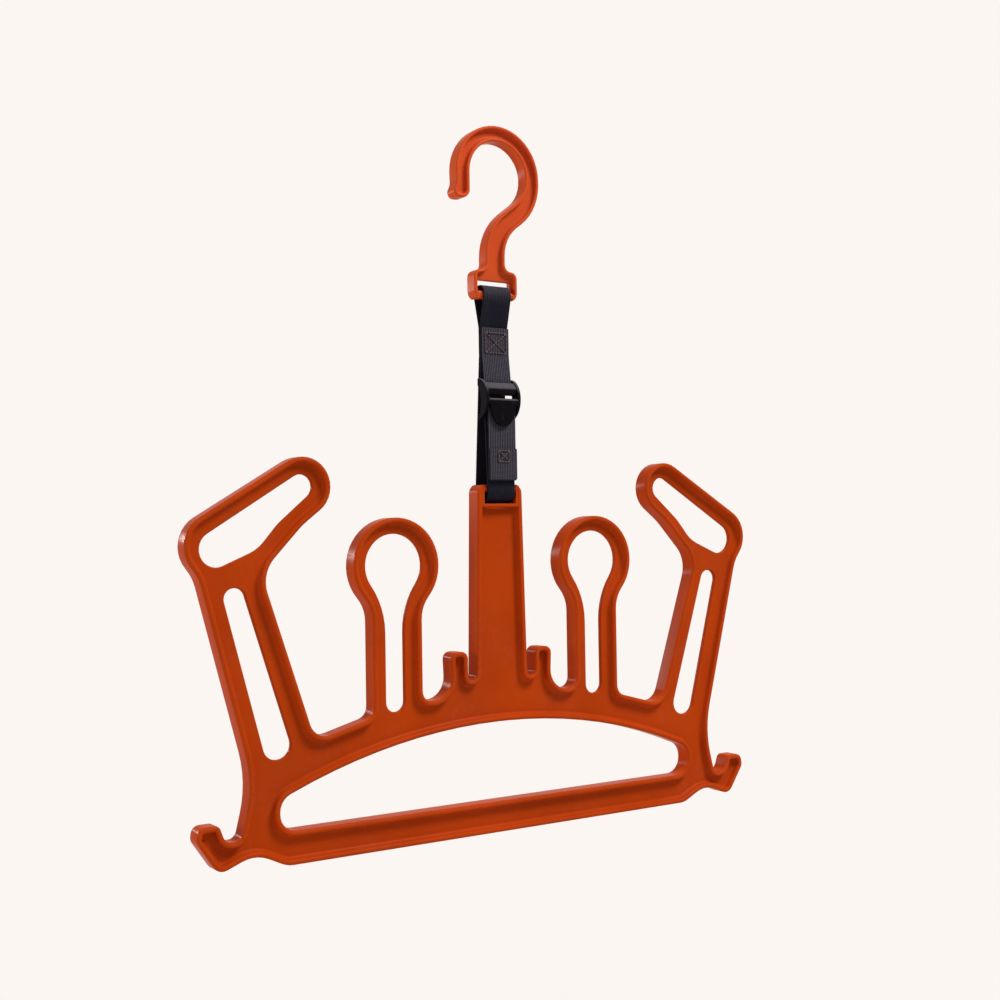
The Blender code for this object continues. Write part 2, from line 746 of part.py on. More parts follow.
def ribbon(name, line):
    """Webbing along a line of points (y, z), as an open strip across X without thickness."""
    curve = bpy.data.curves.new(name, "CURVE")
    curve.dimensions = "2D"
    curve.fill_mode = "NONE"
    curve.extrude = WEBBING_WIDTH / 2
    spline = curve.splines.new("POLY")
    spline.points.add(len(line) - 1)
    for point, (y, z) in zip(spline.points, line):
        point.co = (y, z, 0, 1)
    mesh = curve_to_mesh(name, curve)
    mesh.transform(TO_SIDE_VIEW)
    return mesh


def add_webbing(collection, name, line, carrier, finish):
    piece = add_piece(collection, name, ribbon(name, line), carrier, finish)
    wall = piece.modifiers.new("webbing", "SOLIDIFY")
    wall.thickness = WEBBING_THICK
    wall.offset = 0
    wall.use_even_offset = True
    return piece


def wrap(start, centre, radius, end, side):
    """A line of webbing from one point round a bar to another.

    Side 1 turns anticlockwise, seen with Y to the right and Z up, and side -1 clockwise.
    """
    first = tangent_angle(centre, radius, start, side)
    last = tangent_angle(centre, radius, end, -side)
    turn = (side * (last - first)) % math.tau
    return [start, *arc(centre, radius, first, first + side * turn), end]


def build_hook(parts, cutters, carrier, finish):
    mesh = upright_slab("hook_moulding", [hook_outline()], HOOK_DEPTH)
    recess_faces(mesh, HOOK_RIM, HOOK_WEB, HOOK_DEPTH)
    hook = add_piece(parts, "hook_moulding", mesh, carrier, finish)
    half_slot = HOOK_SLOT_WIDTH / 2
    half_bar = HOOK_BAR_HEIGHT / 2
    slot_top = HOOK_PIVOT.z + half_bar + HOOK_SLOT_HEIGHT
    low = (-half_slot, -HOOK_DEPTH, HOOK_PIVOT.z - HOOK_BAR_HEIGHT)
    high = (half_slot, HOOK_DEPTH, slot_top)
    add_boolean(hook, cutters, box_mesh("hook_slot", low, high), "DIFFERENCE")
    half_span = half_slot + HEAD_JOIN
    half_depth = HOOK_DEPTH / 2 - HEAD_STEP
    low = (-half_span, -half_depth, HOOK_PIVOT.z - half_bar)
    high = (half_span, half_depth, HOOK_PIVOT.z + half_bar)
    bar = box_mesh("hook_bar", low, high, half_bar * BAR_ROUNDING_SHARE)
    add_boolean(hook, cutters, bar, "UNION")


def cut_hole(frame, cutters, name, outline):
    hole = upright_slab(name, [outline], FRAME_DEPTH + CUT_OVERRUN)
    hole.transform(Matrix.Translation(FRAME_TOP))
    add_boolean(frame, cutters, hole, "DIFFERENCE")


def build_mast_head(frame, cutters):
    """The slot at the top of the mast, with the round-edged bar that the strap goes over."""
    top = FRAME_TOP.z
    half_depth = FRAME_DEPTH / 2 - HEAD_STEP
    half_head = MAST_SLOT_HALF + MAST_POST
    low = (-half_head, -half_depth, top - MAST_SLOT_DROP - MAST_RIB)
    high = (half_head, half_depth, top - CROSSBAR_HEIGHT / 2)
    add_boolean(frame, cutters, box_mesh("mast_head", low, high), "UNION")
    low = (-MAST_SLOT_HALF, -FRAME_DEPTH, top - MAST_SLOT_DROP)
    high = (MAST_SLOT_HALF, FRAME_DEPTH, top + CROSSBAR_HEIGHT)
    add_boolean(frame, cutters, box_mesh("mast_slot", low, high), "DIFFERENCE")
    half_span = MAST_SLOT_HALF + HEAD_JOIN
    low = (-half_span, -half_depth, top - CROSSBAR_HEIGHT)
    high = (half_span, half_depth, top - HEAD_STEP)
    bar = box_mesh("mast_crossbar", low, high, CROSSBAR_HEIGHT / 2 * BAR_ROUNDING_SHARE)
    add_boolean(frame, cutters, bar, "UNION")


def add_mirror(piece):
    """Cuts a piece at X = 0 and completes it with its mirror image."""
    mirror = piece.modifiers.new("mirror", "MIRROR")
    mirror.use_axis = (True, False, False)
    mirror.use_bisect_axis = (True, False, False)
    mirror.bisect_threshold = WELD
    mirror.merge_threshold = WELD


def build_frame(parts, cutters, carrier, finish):
    mesh = upright_slab("frame_moulding", [half_frame_outline()], FRAME_DEPTH)
    recess_faces(mesh, FRAME_RIM, FRAME_WEB, FRAME_DEPTH)
    mesh.transform(Matrix.Translation(FRAME_TOP))
    frame = add_piece(parts, "frame_moulding", mesh, carrier, finish)
    cut_hole(frame, cutters, "prong_hole", prong_hole_outline())
    cut_hole(frame, cutters, "arm_slot", arm_slot_outline())
    cut_hole(frame, cutters, "arm_loop_hole", arm_hole_outline())
    build_mast_head(frame, cutters)
    add_mirror(frame)


def build_buckle(parts, cutters, carrier, finish):
    """The ladder lock: two side plates, a fixed bar, a grip bar, two front bars and a tab."""
    fixed = (BUCKLE_PIVOT.y, BUCKLE_PIVOT.z)
    plate_x = PLATE_INSIDE + SIDE_PLATE_THICK / 2
    half = PLATE_INSIDE + BUCKLE_JOIN
    plates = []
    for side, x in (("left", -plate_x), ("right", plate_x)):
        plate = side_slab(side + "_plate", side_plate_outline(), SIDE_PLATE_THICK)
        plate.transform(Matrix.Translation((x, 0, 0)))
        plates.append(plate)
    buckle = add_piece(parts, "ladder_lock_buckle", plates[0], carrier, finish)
    upper_y = BUCKLE_PIVOT.y - UPPER_BAR_REACH
    upper_z = BUCKLE_PIVOT.z - UPPER_BAR_DROP - FRONT_BAR_HEIGHT / 2
    lower_z = BUCKLE_PIVOT.z - LOWER_BAR_DROP - FRONT_BAR_HEIGHT / 2
    upper_bar = box_mesh(
        "upper_front_bar",
        (-half, upper_y, upper_z),
        (half, upper_y + FRONT_BAR_THICK, upper_z + FRONT_BAR_HEIGHT),
        FRONT_BAR_ROUNDING,
    )
    lower_bar = box_mesh(
        "lower_front_bar",
        (-half, TAB_BACK - FRONT_BAR_THICK, lower_z),
        (half, TAB_BACK, lower_z + FRONT_BAR_HEIGHT),
        FRONT_BAR_ROUNDING,
    )
    tab = upright_slab("thumb_tab", [tab_outline()], TAB_THICK)
    tab_y = TAB_BACK - FRONT_BAR_THICK / 2
    tab.transform(Matrix.Translation((0, tab_y, BUCKLE_PIVOT.z)))
    joined = [
        rod_mesh("fixed_bar", fixed, FIXED_BAR_RADIUS, 2 * half),
        rod_mesh("grip_bar", GRIP_BAR, GRIP_BAR_RADIUS, 2 * half),
        upper_bar,
        lower_bar,
        tab,
        plates[1],
    ]
    for mesh in joined:
        add_boolean(buckle, cutters, mesh, "UNION")


def build_strap(parts, joints, finish):
    """The webbing, in the stretches that keep their shape and the runs between them."""
    hook_bar = (0, HOOK_PIVOT.z)
    mast_bar = (0, MAST_PIVOT.z)
    fixed_bar = (BUCKLE_PIVOT.y, BUCKLE_PIVOT.z)
    sewn_top = SEWN_PIVOT.z
    foot = sewn_top + FIT_GAP
    loop = wrap((FRONT_LAYER, foot), hook_bar, HOOK_LOOP_RADIUS, (BACK_LAYER, foot), -1)
    add_webbing(parts, "strap_hook_loop", loop, joints["hook_swing"], finish)

    sewn_front = (FRONT_LAYER, SEWN_BOTTOM)
    sewn_flap = (FLAP_LAYER, SEWN_BOTTOM)
    flap = wrap(sewn_front, fixed_bar, FIXED_WRAP_RADIUS, sewn_flap, -1)
    flap = [(FRONT_LAYER, sewn_top), *flap, (FLAP_LAYER, sewn_top)]
    add_webbing(parts, "strap_sewn_flap", flap, joints["strap_twist"], finish)
    anchor = [(BACK_LAYER, sewn_top), (BACK_LAYER, SEWN_BOTTOM)]
    add_webbing(parts, "strap_sewn_back", anchor, joints["strap_twist"], finish)

    mast_loop = arc(mast_bar, MAST_LOOP_RADIUS, 0, -math.pi)
    add_webbing(parts, "strap_mast_loop", mast_loop, joints["strap_adjust"], finish)
    run_foot = MAST_PIVOT.z + FIT_GAP
    back_run = [(MAST_LOOP_RADIUS, run_foot), (BACK_LAYER, SEWN_BOTTOM - FIT_GAP)]
    add_webbing(parts, "strap_back_run", back_run, joints["strap_adjust"], finish)

    front_foot = (-MAST_LOOP_RADIUS, run_foot)
    touch = tangent_angle(GRIP_BAR, GRIP_WRAP_RADIUS, front_foot, 1)
    over_grip = arc(GRIP_BAR, GRIP_WRAP_RADIUS, touch, math.pi)
    add_webbing(parts, "strap_grip_wrap", over_grip, joints["buckle_tilt"], finish)
    front_top = Vector(over_grip[0])
    front_top += (Vector(front_foot) - front_top).normalized() * FIT_GAP
    front_run = [front_foot, tuple(front_top)]
    add_webbing(parts, "strap_front_run", front_run, joints["strap_adjust"], finish)

    tail = [(TAIL_LAYER, GRIP_BAR[1] - FIT_GAP), (TAIL_LAYER, HEM_PIVOT.z + FIT_GAP)]
    add_webbing(parts, "strap_tail", tail, joints["tail_travel"], finish)
    fold = LAYER_PITCH / 2
    fold_z = HEM_PIVOT.z - HEM_LENGTH + fold + HALF_LAYER
    hem = arc((TAIL_LAYER - fold, fold_z), fold, 0, -math.pi)
    hem = [(TAIL_LAYER, HEM_PIVOT.z), *hem, (TAIL_LAYER - LAYER_PITCH, HEM_PIVOT.z)]
    add_webbing(parts, "strap_hem", hem, joints["tail_travel"], finish)


def build_stitching(parts, joints, finish):
    """The threads that show: a crossed box on the sewn flap and a tack on the hem."""
    proud = HALF_LAYER + FIT_GAP + THREAD_RISE / 2
    middle = SEWN_PIVOT.z - BOX_STITCH_DROP - BOX_STITCH_HEIGHT / 2
    centre = (0, FLAP_LAYER - proud, middle)
    box = stitch_mesh("box_stitch", BOX_STITCH_WIDTH, BOX_STITCH_HEIGHT, centre)
    add_piece(parts, "box_stitch", box, joints["strap_twist"], finish)
    middle = HEM_PIVOT.z - TACK_DROP - TACK_HEIGHT / 2
    centre = (0, TAIL_LAYER - LAYER_PITCH - proud, middle)
    tack = stitch_mesh("hem_stitch", TACK_WIDTH, TACK_HEIGHT, centre)
    add_piece(parts, "hem_stitch", tack, joints["tail_travel"], finish)


def build_joints(parts):
    """Empties on the joint axes, from the hook down the strap to the frame."""
    places = (
        ("hook_seat", Vector((0, 0, 0)), None),
        ("hook_swing", HOOK_PIVOT, "hook_seat"),
        ("strap_twist", SEWN_PIVOT, "hook_swing"),
        ("buckle_tilt", BUCKLE_PIVOT, "strap_twist"),
        ("strap_adjust", MAST_PIVOT, "strap_twist"),
        ("tail_travel", HEM_PIVOT, "strap_twist"),
        ("frame_swing", MAST_PIVOT, "strap_adjust"),
    )
    joints = {}
    for name, place, parent in places:
        joints[name] = add_joint(parts, name, place, joints.get(parent))
    return joints


def main():
    clear_scene()
    parts = add_collection("wetsuit_hanger")
    cutters = add_collection("cutters")
    joints = build_joints(parts)
    red = material("frame_plastic", RED_PLASTIC)
    light_red = material("hook_plastic", HOOK_PLASTIC)
    webbing = material("dark_webbing", DARK_WEBBING)
    black = material("buckle_plastic", BLACK_PLASTIC)
    thread = material("maroon_thread", MAROON_THREAD)
    build_hook(parts, cutters, joints["hook_seat"], light_red)
    build_strap(parts, joints, webbing)
    build_buckle(parts, cutters, joints["buckle_tilt"], black)
    build_stitching(parts, joints, thread)
    build_frame(parts, cutters, joints["frame_swing"], red)


main()
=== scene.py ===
"""Wetsuit hanger: the moulded frame and hook, the woven strap, its buckle and its stitching.

Every length is in metres, X to the right, Y away from the viewer and Z up.
"""

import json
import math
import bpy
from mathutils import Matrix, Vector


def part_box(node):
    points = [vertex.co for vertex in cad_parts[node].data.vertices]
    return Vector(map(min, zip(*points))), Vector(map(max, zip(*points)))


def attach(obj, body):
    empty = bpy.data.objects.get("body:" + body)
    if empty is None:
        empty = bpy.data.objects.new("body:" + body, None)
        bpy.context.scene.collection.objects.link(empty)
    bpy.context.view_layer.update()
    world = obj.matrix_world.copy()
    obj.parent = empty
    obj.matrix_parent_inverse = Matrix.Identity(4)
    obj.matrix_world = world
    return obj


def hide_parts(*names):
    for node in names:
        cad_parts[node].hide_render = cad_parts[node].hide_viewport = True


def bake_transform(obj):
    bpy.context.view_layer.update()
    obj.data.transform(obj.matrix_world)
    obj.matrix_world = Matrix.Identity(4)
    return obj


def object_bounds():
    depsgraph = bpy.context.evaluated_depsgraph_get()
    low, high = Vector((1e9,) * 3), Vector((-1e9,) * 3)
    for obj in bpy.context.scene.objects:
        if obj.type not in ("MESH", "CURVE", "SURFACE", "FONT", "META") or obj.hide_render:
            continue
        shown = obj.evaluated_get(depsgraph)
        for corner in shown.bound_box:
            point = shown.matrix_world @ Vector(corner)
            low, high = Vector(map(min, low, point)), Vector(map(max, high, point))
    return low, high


bl_info = {
    "name": "Wetsuit hanger",
    "version": (1, 0, 0),
    "blender": (4, 5, 0),
    "location": "3D View > Sidebar > Hanger",
    "description": "Dresses a moulded wetsuit hanger and its webbing strap",
    "category": "Object",
}

from collections import Counter

import bmesh
import bpy
from bpy.props import FloatProperty, FloatVectorProperty, PointerProperty
from mathutils import Matrix, Vector
from mathutils.kdtree import KDTree

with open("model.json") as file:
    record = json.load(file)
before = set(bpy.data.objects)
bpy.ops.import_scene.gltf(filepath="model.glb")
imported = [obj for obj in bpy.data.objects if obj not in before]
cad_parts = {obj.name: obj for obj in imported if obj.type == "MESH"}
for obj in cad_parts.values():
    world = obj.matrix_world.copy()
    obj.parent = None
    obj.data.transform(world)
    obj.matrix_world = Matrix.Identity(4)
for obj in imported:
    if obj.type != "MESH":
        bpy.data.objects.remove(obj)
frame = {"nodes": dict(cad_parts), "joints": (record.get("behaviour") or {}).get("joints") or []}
CAD_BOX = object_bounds()

MM = 0.001
WELD = 0.01 * MM
SHARP_ANGLE = math.radians(28)
SMOOTH_ANGLE = math.radians(40)
CORNER_STEPS = 6
ROUND_STEPS = 3

# The share of the space beside an edge that its rounding may take, on a moulding's outside,
# on a recess's rim and at its foot, and how that space is measured
OUTER_SHARE = 0.5
INNER_SHARE = 0.34
FOOT_SHARE = 0.44
SPACE_REACH = 3
SIDEWAYS = math.cos(math.radians(32))
WHOLE_DEPTH = 0.9

# A moulding's flat faces: greatest bend and spread in Y, least area and Y of the normal
FLAT_ANGLE = math.radians(0.4)
FLAT_SPREAD = WELD / 10
FLAT_AREA = 100 * MM**2
FLAT_FACING = 0.99


def joint_place(name):
    """Where a joint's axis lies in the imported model."""
    joint = next(joint for joint in frame["joints"] if joint["name"] == name)
    return Vector(joint["pos_m"])


HOOK_BAR = joint_place("hook_swing")
FIXED_BAR = joint_place("buckle_tilt")
MAST_BAR = joint_place("frame_swing")
SEWN_LOW, SEWN_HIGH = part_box("strap_sewn_back")
LOOP_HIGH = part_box("strap_hook_loop")[1]
FOOT_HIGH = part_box("strap_mast_loop")[1]
GRIP_LOW, GRIP_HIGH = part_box("strap_grip_wrap")
TAIL_LOW, TAIL_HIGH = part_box("strap_tail")
HEM_LOW, HEM_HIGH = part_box("strap_hem")

# Webbing: its layers are the Y of the middle of each thickness
WEBBING_WIDTH = SEWN_HIGH.x - SEWN_LOW.x
WEBBING_THICK = SEWN_HIGH.y - SEWN_LOW.y
HALF_THICK = WEBBING_THICK / 2
BACK_LAYER = (SEWN_LOW.y + SEWN_HIGH.y) / 2
FRONT_LAYER = -BACK_LAYER
LAYER_PITCH = BACK_LAYER - FRONT_LAYER
FLAP_LAYER = FRONT_LAYER - LAYER_PITCH
TAIL_LAYER = (TAIL_LOW.y + TAIL_HIGH.y) / 2

# Its faces, and how far below the grip bar its pieces meet
WEBBING_COLUMNS = 12
SELVEDGE_ANGLE = math.radians(45)
ARC_STEP = math.radians(9)
ARC_STEPS_LEAST = 4
GRIP_SPLIT = 4.7 * MM

# The ends of the sewn part's three layers, as (y, z)
FLAP_TOP, FLAP_FOOT = (FLAP_LAYER, SEWN_HIGH.z), (FLAP_LAYER, SEWN_LOW.z)
FRONT_TOP, FRONT_FOOT = (FRONT_LAYER, SEWN_HIGH.z), (FRONT_LAYER, SEWN_LOW.z)
BACK_TOP, BACK_FOOT = (BACK_LAYER, SEWN_HIGH.z), (BACK_LAYER, SEWN_LOW.z)

# The buckle's sections, in millimetres forward of and below its fixed bar, with the rounding
UPPER_BAR = (
    (3.65, 0.7, 0.4),
    (5.2, -0.4, 0.8),
    (9.7, 4.6, 4.2),
    (9.7, 10.0, 2.2),
    (7.2, 10.0, 0.6),
    (6.6, 6.0, 2.0),
)
LOWER_BAR = (
    (8.8, 12.3, 0.4),
    (11.95, 12.3, 2.9),
    (11.95, 18.0, 1.6),
    (8.8, 18.0, 0.4),
)

# The buckle's half-round plates and their hollows: middles below the fixed bar, and radii
PLATE_MIDDLE = 12.5 * MM
PLATE_RADIUS = 16.1 * MM
HOLLOW_MIDDLE = 14.2 * MM
HOLLOW_RADIUS = 11.6 * MM
HOLLOW_DEPTH = 4.6 * MM
HALF_ROUND_STEPS = 24
ROD_SIDES = 24

# Stitches: sides of one stitch, and its arch and depth in the webbing as shares of the thread
STITCH_SIDES = 8
STITCH_ARCH = 0.5
STITCH_SINK = 0.35

# Finishes: colours, factors of a colour's lightness, and the patterns' forms
DUST_COLOUR = (0.55, 0.42, 0.36)
LINT_COLOUR = (0.16, 0.15, 0.16)
BUCKLE_SCUFF_COLOUR = (0.05, 0.05, 0.055)
SCUFF_PALENESS = 0.25
DARKEST, PALEST = 0.93, 1.06
GAP_SHADE = 0.55
FIBRE_SHADES = (0.7, 1.5)
SCRATCH_SCALE = (900, 900, 90)
SCRATCH_SLANT = math.radians(28)
YARN_SLANT = 0.8
YARN_RELIEF = 0.6
COLUMN_POWER = 0.55
LINT_SCALE = 14.0

# The studio: each light's place from the object's middle, its width and height, and its power
STUDIO_LIGHTS = (
    ("key", (0.75, -1.15, 1.6), (0.7, 0.7), 43.5),
    ("fill", (-1.85, -0.25, 0.05), (0.4, 0.6), 9),
    ("glint", (-0.97, 1.67, 0.34), (0.09, 0.27), 14),
)
FLOOR_SIDES = 96
SENSOR_WIDTH = 36
CLIP_START = 0.01


def length(default, name, description, least=0.0):
    """A property that holds a length."""
    return FloatProperty(
        name=name,
        description=description,
        default=default,
        min=least,
        precision=5,
        subtype="DISTANCE",
        unit="LENGTH",
    )


def angle(degrees, name, description):
    """A property that holds an angle."""
    return FloatProperty(
        name=name, description=description, default=math.radians(degrees), subtype="ANGLE"
    )


def share(default, name, description):
    """A property that holds a share from 0 to 1."""
    return FloatProperty(
        name=name, description=description, default=default, min=0, max=1, subtype="FACTOR"
    )


def colour(default, name, description):
    """A property that holds a linear colour."""
    return FloatVectorProperty(
        name=name,
        description=description,
        default=default,
        size=3,
        min=0,
        max=1,
        subtype="COLOR",
    )


class HangerMouldingSettings(bpy.types.PropertyGroup):
    frame_rounding: length(1.9 * MM, "Frame rounding", "Rounding of the frame's outside")
    hook_rounding: length(1.6 * MM, "Hook rounding", "Rounding of the hook's outside")
    recess_rounding: length(1.2 * MM, "Recess rounding", "Rounding of the recesses' rims")
    foot_rounding: length(2.2 * MM, "Foot rounding", "Fillet at the foot of a recess")
    frame_colour: colour((0.44, 0.046, 0.0035), "Frame colour", "Colour of the frame")
    hook_colour: colour((0.56, 0.072, 0.017), "Hook colour", "Colour of the hook")
    roughness: share(0.26, "Roughness", "How dull the moulded plastic is")
    grain_size: length(0.7 * MM, "Grain size", "Size of the mould's fine grain")


class HangerWebbingSettings(bpy.types.PropertyGroup):
    colour: colour((0.012, 0.011, 0.018), "Colour", "Colour of the webbing")
    highlight: colour((0.017, 0.016, 0.028), "Highlight", "Colour of the raised yarns")
    # Raised yarns are paler on the sewn flap and towards the free end, and over the hook's bar
    # the same paler colour is a painted highlight
    worn: colour((0.115, 0.103, 0.130), "Worn", "Colour of raised yarns that daylight faded")
    worn_flap: length(38.0 * MM, "Worn flap", "Length of faded webbing on the sewn flap")
    worn_end: length(400.0 * MM, "Worn end", "Where the free end is faded along the strap")
    # How far the painted highlight over the hook's bar reaches
    worn_crown: length(19.0 * MM, "Worn crown", "Reach of the fading over the hook's bar")
    worn_blend: length(14.0 * MM, "Worn blend", "Length over which the fading ends")
    column: length(1.56 * MM, "Column", "Width of one column of the herringbone")
    yarn: length(0.95 * MM, "Yarn", "Distance between two yarns along the strap")
    edge_rounding: length(0.55 * MM, "Edge rounding", "Rounding of the woven edges")
    row: length(1.1 * MM, "Row", "Length of one row of faces along the strap")
    foot_sag: length(2.45 * MM, "Foot sag", "How much lower the loop round the mast hangs")


class HangerBuckleSettings(bpy.types.PropertyGroup):
    colour: colour((0.003, 0.0022, 0.0035), "Colour", "Colour of the buckle")
    # The colour of the painted highlight on the faces that look up
    bloom: colour((0.085, 0.074, 0.082), "Bloom", "Colour of the worn faces that look up")
    rounding: length(0.45 * MM, "Rounding", "Rounding of the plates' and the tab's edges")
    plate: length(2.4 * MM, "Plate", "Thickness of the side plates")
    join: length(0.8 * MM, "Join", "How far the bars reach into the side plates")
    rod_radius: length(1.5 * MM, "Rod radius", "Radius of the fixed bar and the grip bar")
    tab_width: length(22.4 * MM, "Tab width", "Width of the thumb tab")
    tab_thick: length(2.2 * MM, "Tab thickness", "Thickness of the thumb tab")
    tab_inset: length(0.5 * MM, "Tab inset", "How far the tab's face lies behind the lower bar's")
    tab_start: length(19.0 * MM, "Tab start", "Where the tab's round end starts below the bar")
    roughness: share(0.24, "Roughness", "How dull the bars and the tab are")
    plate_roughness: share(0.75, "Plate roughness", "How dull the side plates are")


class HangerStitchSettings(bpy.types.PropertyGroup):
    colour: colour((0.055, 0.014, 0.018), "Colour", "Colour of the thread")
    thread: length(0.5 * MM, "Thread", "Half of the thread's thickness")
    stitch: length(2.5 * MM, "Stitch", "Length of one stitch")
    gap: length(0.35 * MM, "Gap", "Distance between two stitches")


class HangerStageSettings(bpy.types.PropertyGroup):
    backdrop: colour((0.965, 0.922, 0.888), "Backdrop", "Colour of floor and backdrop")
    ambient: share(0.36, "Ambient", "Strength of the even light from all round")
    floor_glow: share(0.55, "Floor glow", "How much of the floor shows the plain backdrop")
    floor_radius: length(1.3, "Floor radius", "Radius of the floor")
    floor_fade: length(0.35, "Floor fade", "Where the floor starts to turn into the backdrop")
    floor_drop: length(0.5, "Floor drop", "Height of the hanger over the floor")
    bearing: angle(33.285, "Bearing", "How far the camera stands to the left of the front")
    pitch: angle(1.231, "Pitch", "How far the camera looks up")
    roll: angle(-0.862, "Roll", "How far the camera leans")
    distance: length(1.05705, "Distance", "Distance of the camera from the hanger")
    aside: length(3.57 * MM, "Aside", "How far the camera stands to its own right")
    height: length(-301.94 * MM, "Height", "Height of the camera over the seat", least=-1)
    lens: length(48.974 * MM, "Lens", "Focal length of the camera", least=MM)


# Meshes


def activate(piece):
    """Makes a piece the only one selected, and the active one."""
    bpy.ops.object.select_all(action="DESELECT")
    piece.select_set(True)
    bpy.context.view_layer.objects.active = piece


def edit_all():
    """Opens the active piece in edit mode with all of it selected."""
    bpy.ops.object.mode_set(mode="EDIT")
    bpy.ops.mesh.select_all(action="SELECT")


def close_outward():
    """Turns all faces outwards and leaves edit mode."""
    bpy.ops.mesh.select_all(action="SELECT")
    bpy.ops.mesh.normals_make_consistent(inside=False)
    bpy.ops.object.mode_set(mode="OBJECT")


def apply_modifiers(piece):
    """Applies all of a piece's modifiers in their order."""
    activate(piece)
    for modifier in list(piece.modifiers):
        bpy.ops.object.modifier_apply(modifier=modifier.name)


def rounded_outline(corners):
    """Points of an outline whose corners (a, b, radius) are rounded."""
    points = []
    for before, corner, after in zip(corners[-1:] + corners, corners, corners[1:] + corners):
        place = Vector(corner[:2])
        back = (Vector(before[:2]) - place).normalized()
        onward = (Vector(after[:2]) - place).normalized()
        cut = corner[2] / math.tan(back.angle(onward) / 2)
        first, last = place + back * cut, place + onward * cut
        for step in range(CORNER_STEPS + 1):
            part = step / CORNER_STEPS
            bent = first.lerp(place, part).lerp(place.lerp(last, part), part)
            points.append(tuple(bent))
    return points


def half_round(radius, depth):
    """Points (along, out) round half an ellipse, from one end of its flat side."""
    turns = [math.pi * step / HALF_ROUND_STEPS for step in range(HALF_ROUND_STEPS + 1)]
    return [(radius * math.cos(turn), depth * math.sin(turn)) for turn in turns]


def extruded(name, outline, depth):
    """A flat outline of points, drawn out by a depth."""
    bpy.ops.mesh.primitive_circle_add(vertices=len(outline), fill_type="NGON")
    piece = bpy.context.object
    piece.name = name
    for vertex, place in zip(piece.data.vertices, outline):
        vertex.co = place
    edit_all()
    bpy.ops.mesh.extrude_region_move(TRANSFORM_OT_translate={"value": depth})
    close_outward()
    return piece


def joined(name, pieces):
    """Several pieces as one."""
    activate(pieces[0])
    for piece in pieces:
        piece.select_set(True)
    bpy.ops.object.join()
    pieces[0].name = name
    pieces[0].data.name = name
    return pieces[0]


def finish_piece(piece, material):
    """Gives a piece its finish and smooth shading, with its place in its mesh."""
    activate(piece)
    bpy.ops.object.transform_apply(location=True, rotation=True, scale=True)
    bpy.ops.object.shade_smooth_by_angle(angle=SMOOTH_ANGLE)
    even = piece.modifiers.new("even shading", "WEIGHTED_NORMAL")
    even.keep_sharp = True
    apply_modifiers(piece)
    piece.data.materials.clear()
    piece.data.materials.append(material)


def added(name, data):
    """A new object in the scene."""
    item = bpy.data.objects.new(name, data)
    bpy.context.scene.collection.objects.link(item)
    return item


# Mouldings


def copy_of_node(node, name):
    """A merged copy of a CAD node's mesh, its flat faces whole again."""
    piece = added(name, frame["nodes"][node].data.copy())
    activate(piece)
    edit_all()
    bpy.ops.mesh.remove_doubles(threshold=WELD)
    bpy.ops.mesh.dissolve_limited(angle_limit=FLAT_ANGLE)
    bpy.ops.mesh.quads_convert_to_tris(quad_method="BEAUTY", ngon_method="BEAUTY")
    bpy.ops.object.mode_set(mode="OBJECT")
    return piece


def depth_span(face):
    """How far a face reaches in Y."""
    places = [vertex.co.y for vertex in face.verts]
    return max(places) - min(places)


def is_outside(edge, depth):
    """Whether an edge borders a wall that runs the whole depth of a moulding."""
    return max(depth_span(face) for face in edge.link_faces) > WHOLE_DEPTH * depth


def is_foot(edge):
    """Whether an edge is where a recess's wall meets its floor."""
    flat = max(abs(face.normal.y) for face in edge.link_faces) > FLAT_FACING
    return flat and not edge.is_convex


def places_on(edges):
    """A tree of places along some edges, at most a webbing's thickness apart."""
    places = []
    for edge in edges:
        first, last = edge.verts[0].co, edge.verts[1].co
        steps = max(2, math.ceil((last - first).length / WEBBING_THICK))
        places += [first.lerp(last, step / steps) for step in range(steps + 1)]
    tree = KDTree(len(places))
    for index, place in enumerate(places):
        tree.insert(place, index)
    tree.balance()
    return tree


def side_room(edge, tree, reach):
    """How wide the faces beside an edge are, up to a reach."""
    middle = (edge.verts[0].co + edge.verts[1].co) / 2
    along = (edge.verts[1].co - edge.verts[0].co).normalized()
    sides = []
    for face in edge.link_faces:
        inward = face.calc_center_median() - middle
        sides.append((inward - along * inward.dot(along)).normalized())
    nearest = reach
    for place, _, away in tree.find_range(middle, reach):
        toward = (place - middle) / max(away, WELD)
        if away > WELD and max(toward.dot(side) for side in sides) > SIDEWAYS:
            nearest = min(nearest, away)
    return nearest


def weigh_edges(piece, outer, settings):
    """Weighs each sharp edge by its part of the widest rounding, and gives that rounding."""
    bm = bmesh.new()
    bm.from_mesh(piece.data)
    layer = bm.edges.layers.float.new("bevel_weight_edge")
    sharp = [
        edge
        for edge in bm.edges
        if edge.calc_face_angle(0) > SHARP_ANGLE and (edge.is_convex or is_foot(edge))
    ]
    tree = places_on(sharp)
    depth = piece.dimensions.y
    most = max(outer, settings.recess_rounding, settings.foot_rounding)
    widths = {}
    for edge in sharp:
        width, part = settings.recess_rounding, INNER_SHARE
        if is_foot(edge):
            width, part = settings.foot_rounding, FOOT_SHARE
        elif is_outside(edge, depth):
            width, part = outer, OUTER_SHARE
        widths[edge] = min(width, part * side_room(edge, tree, SPACE_REACH * most))
    for edge in sharp:
        beside = [widths[edge]]
        for vertex in edge.verts:
            beside += [widths[other] for other in vertex.link_edges if other in widths]
        edge[layer] = min(beside) / most
    bm.to_mesh(piece.data)
    bm.free()
    return most


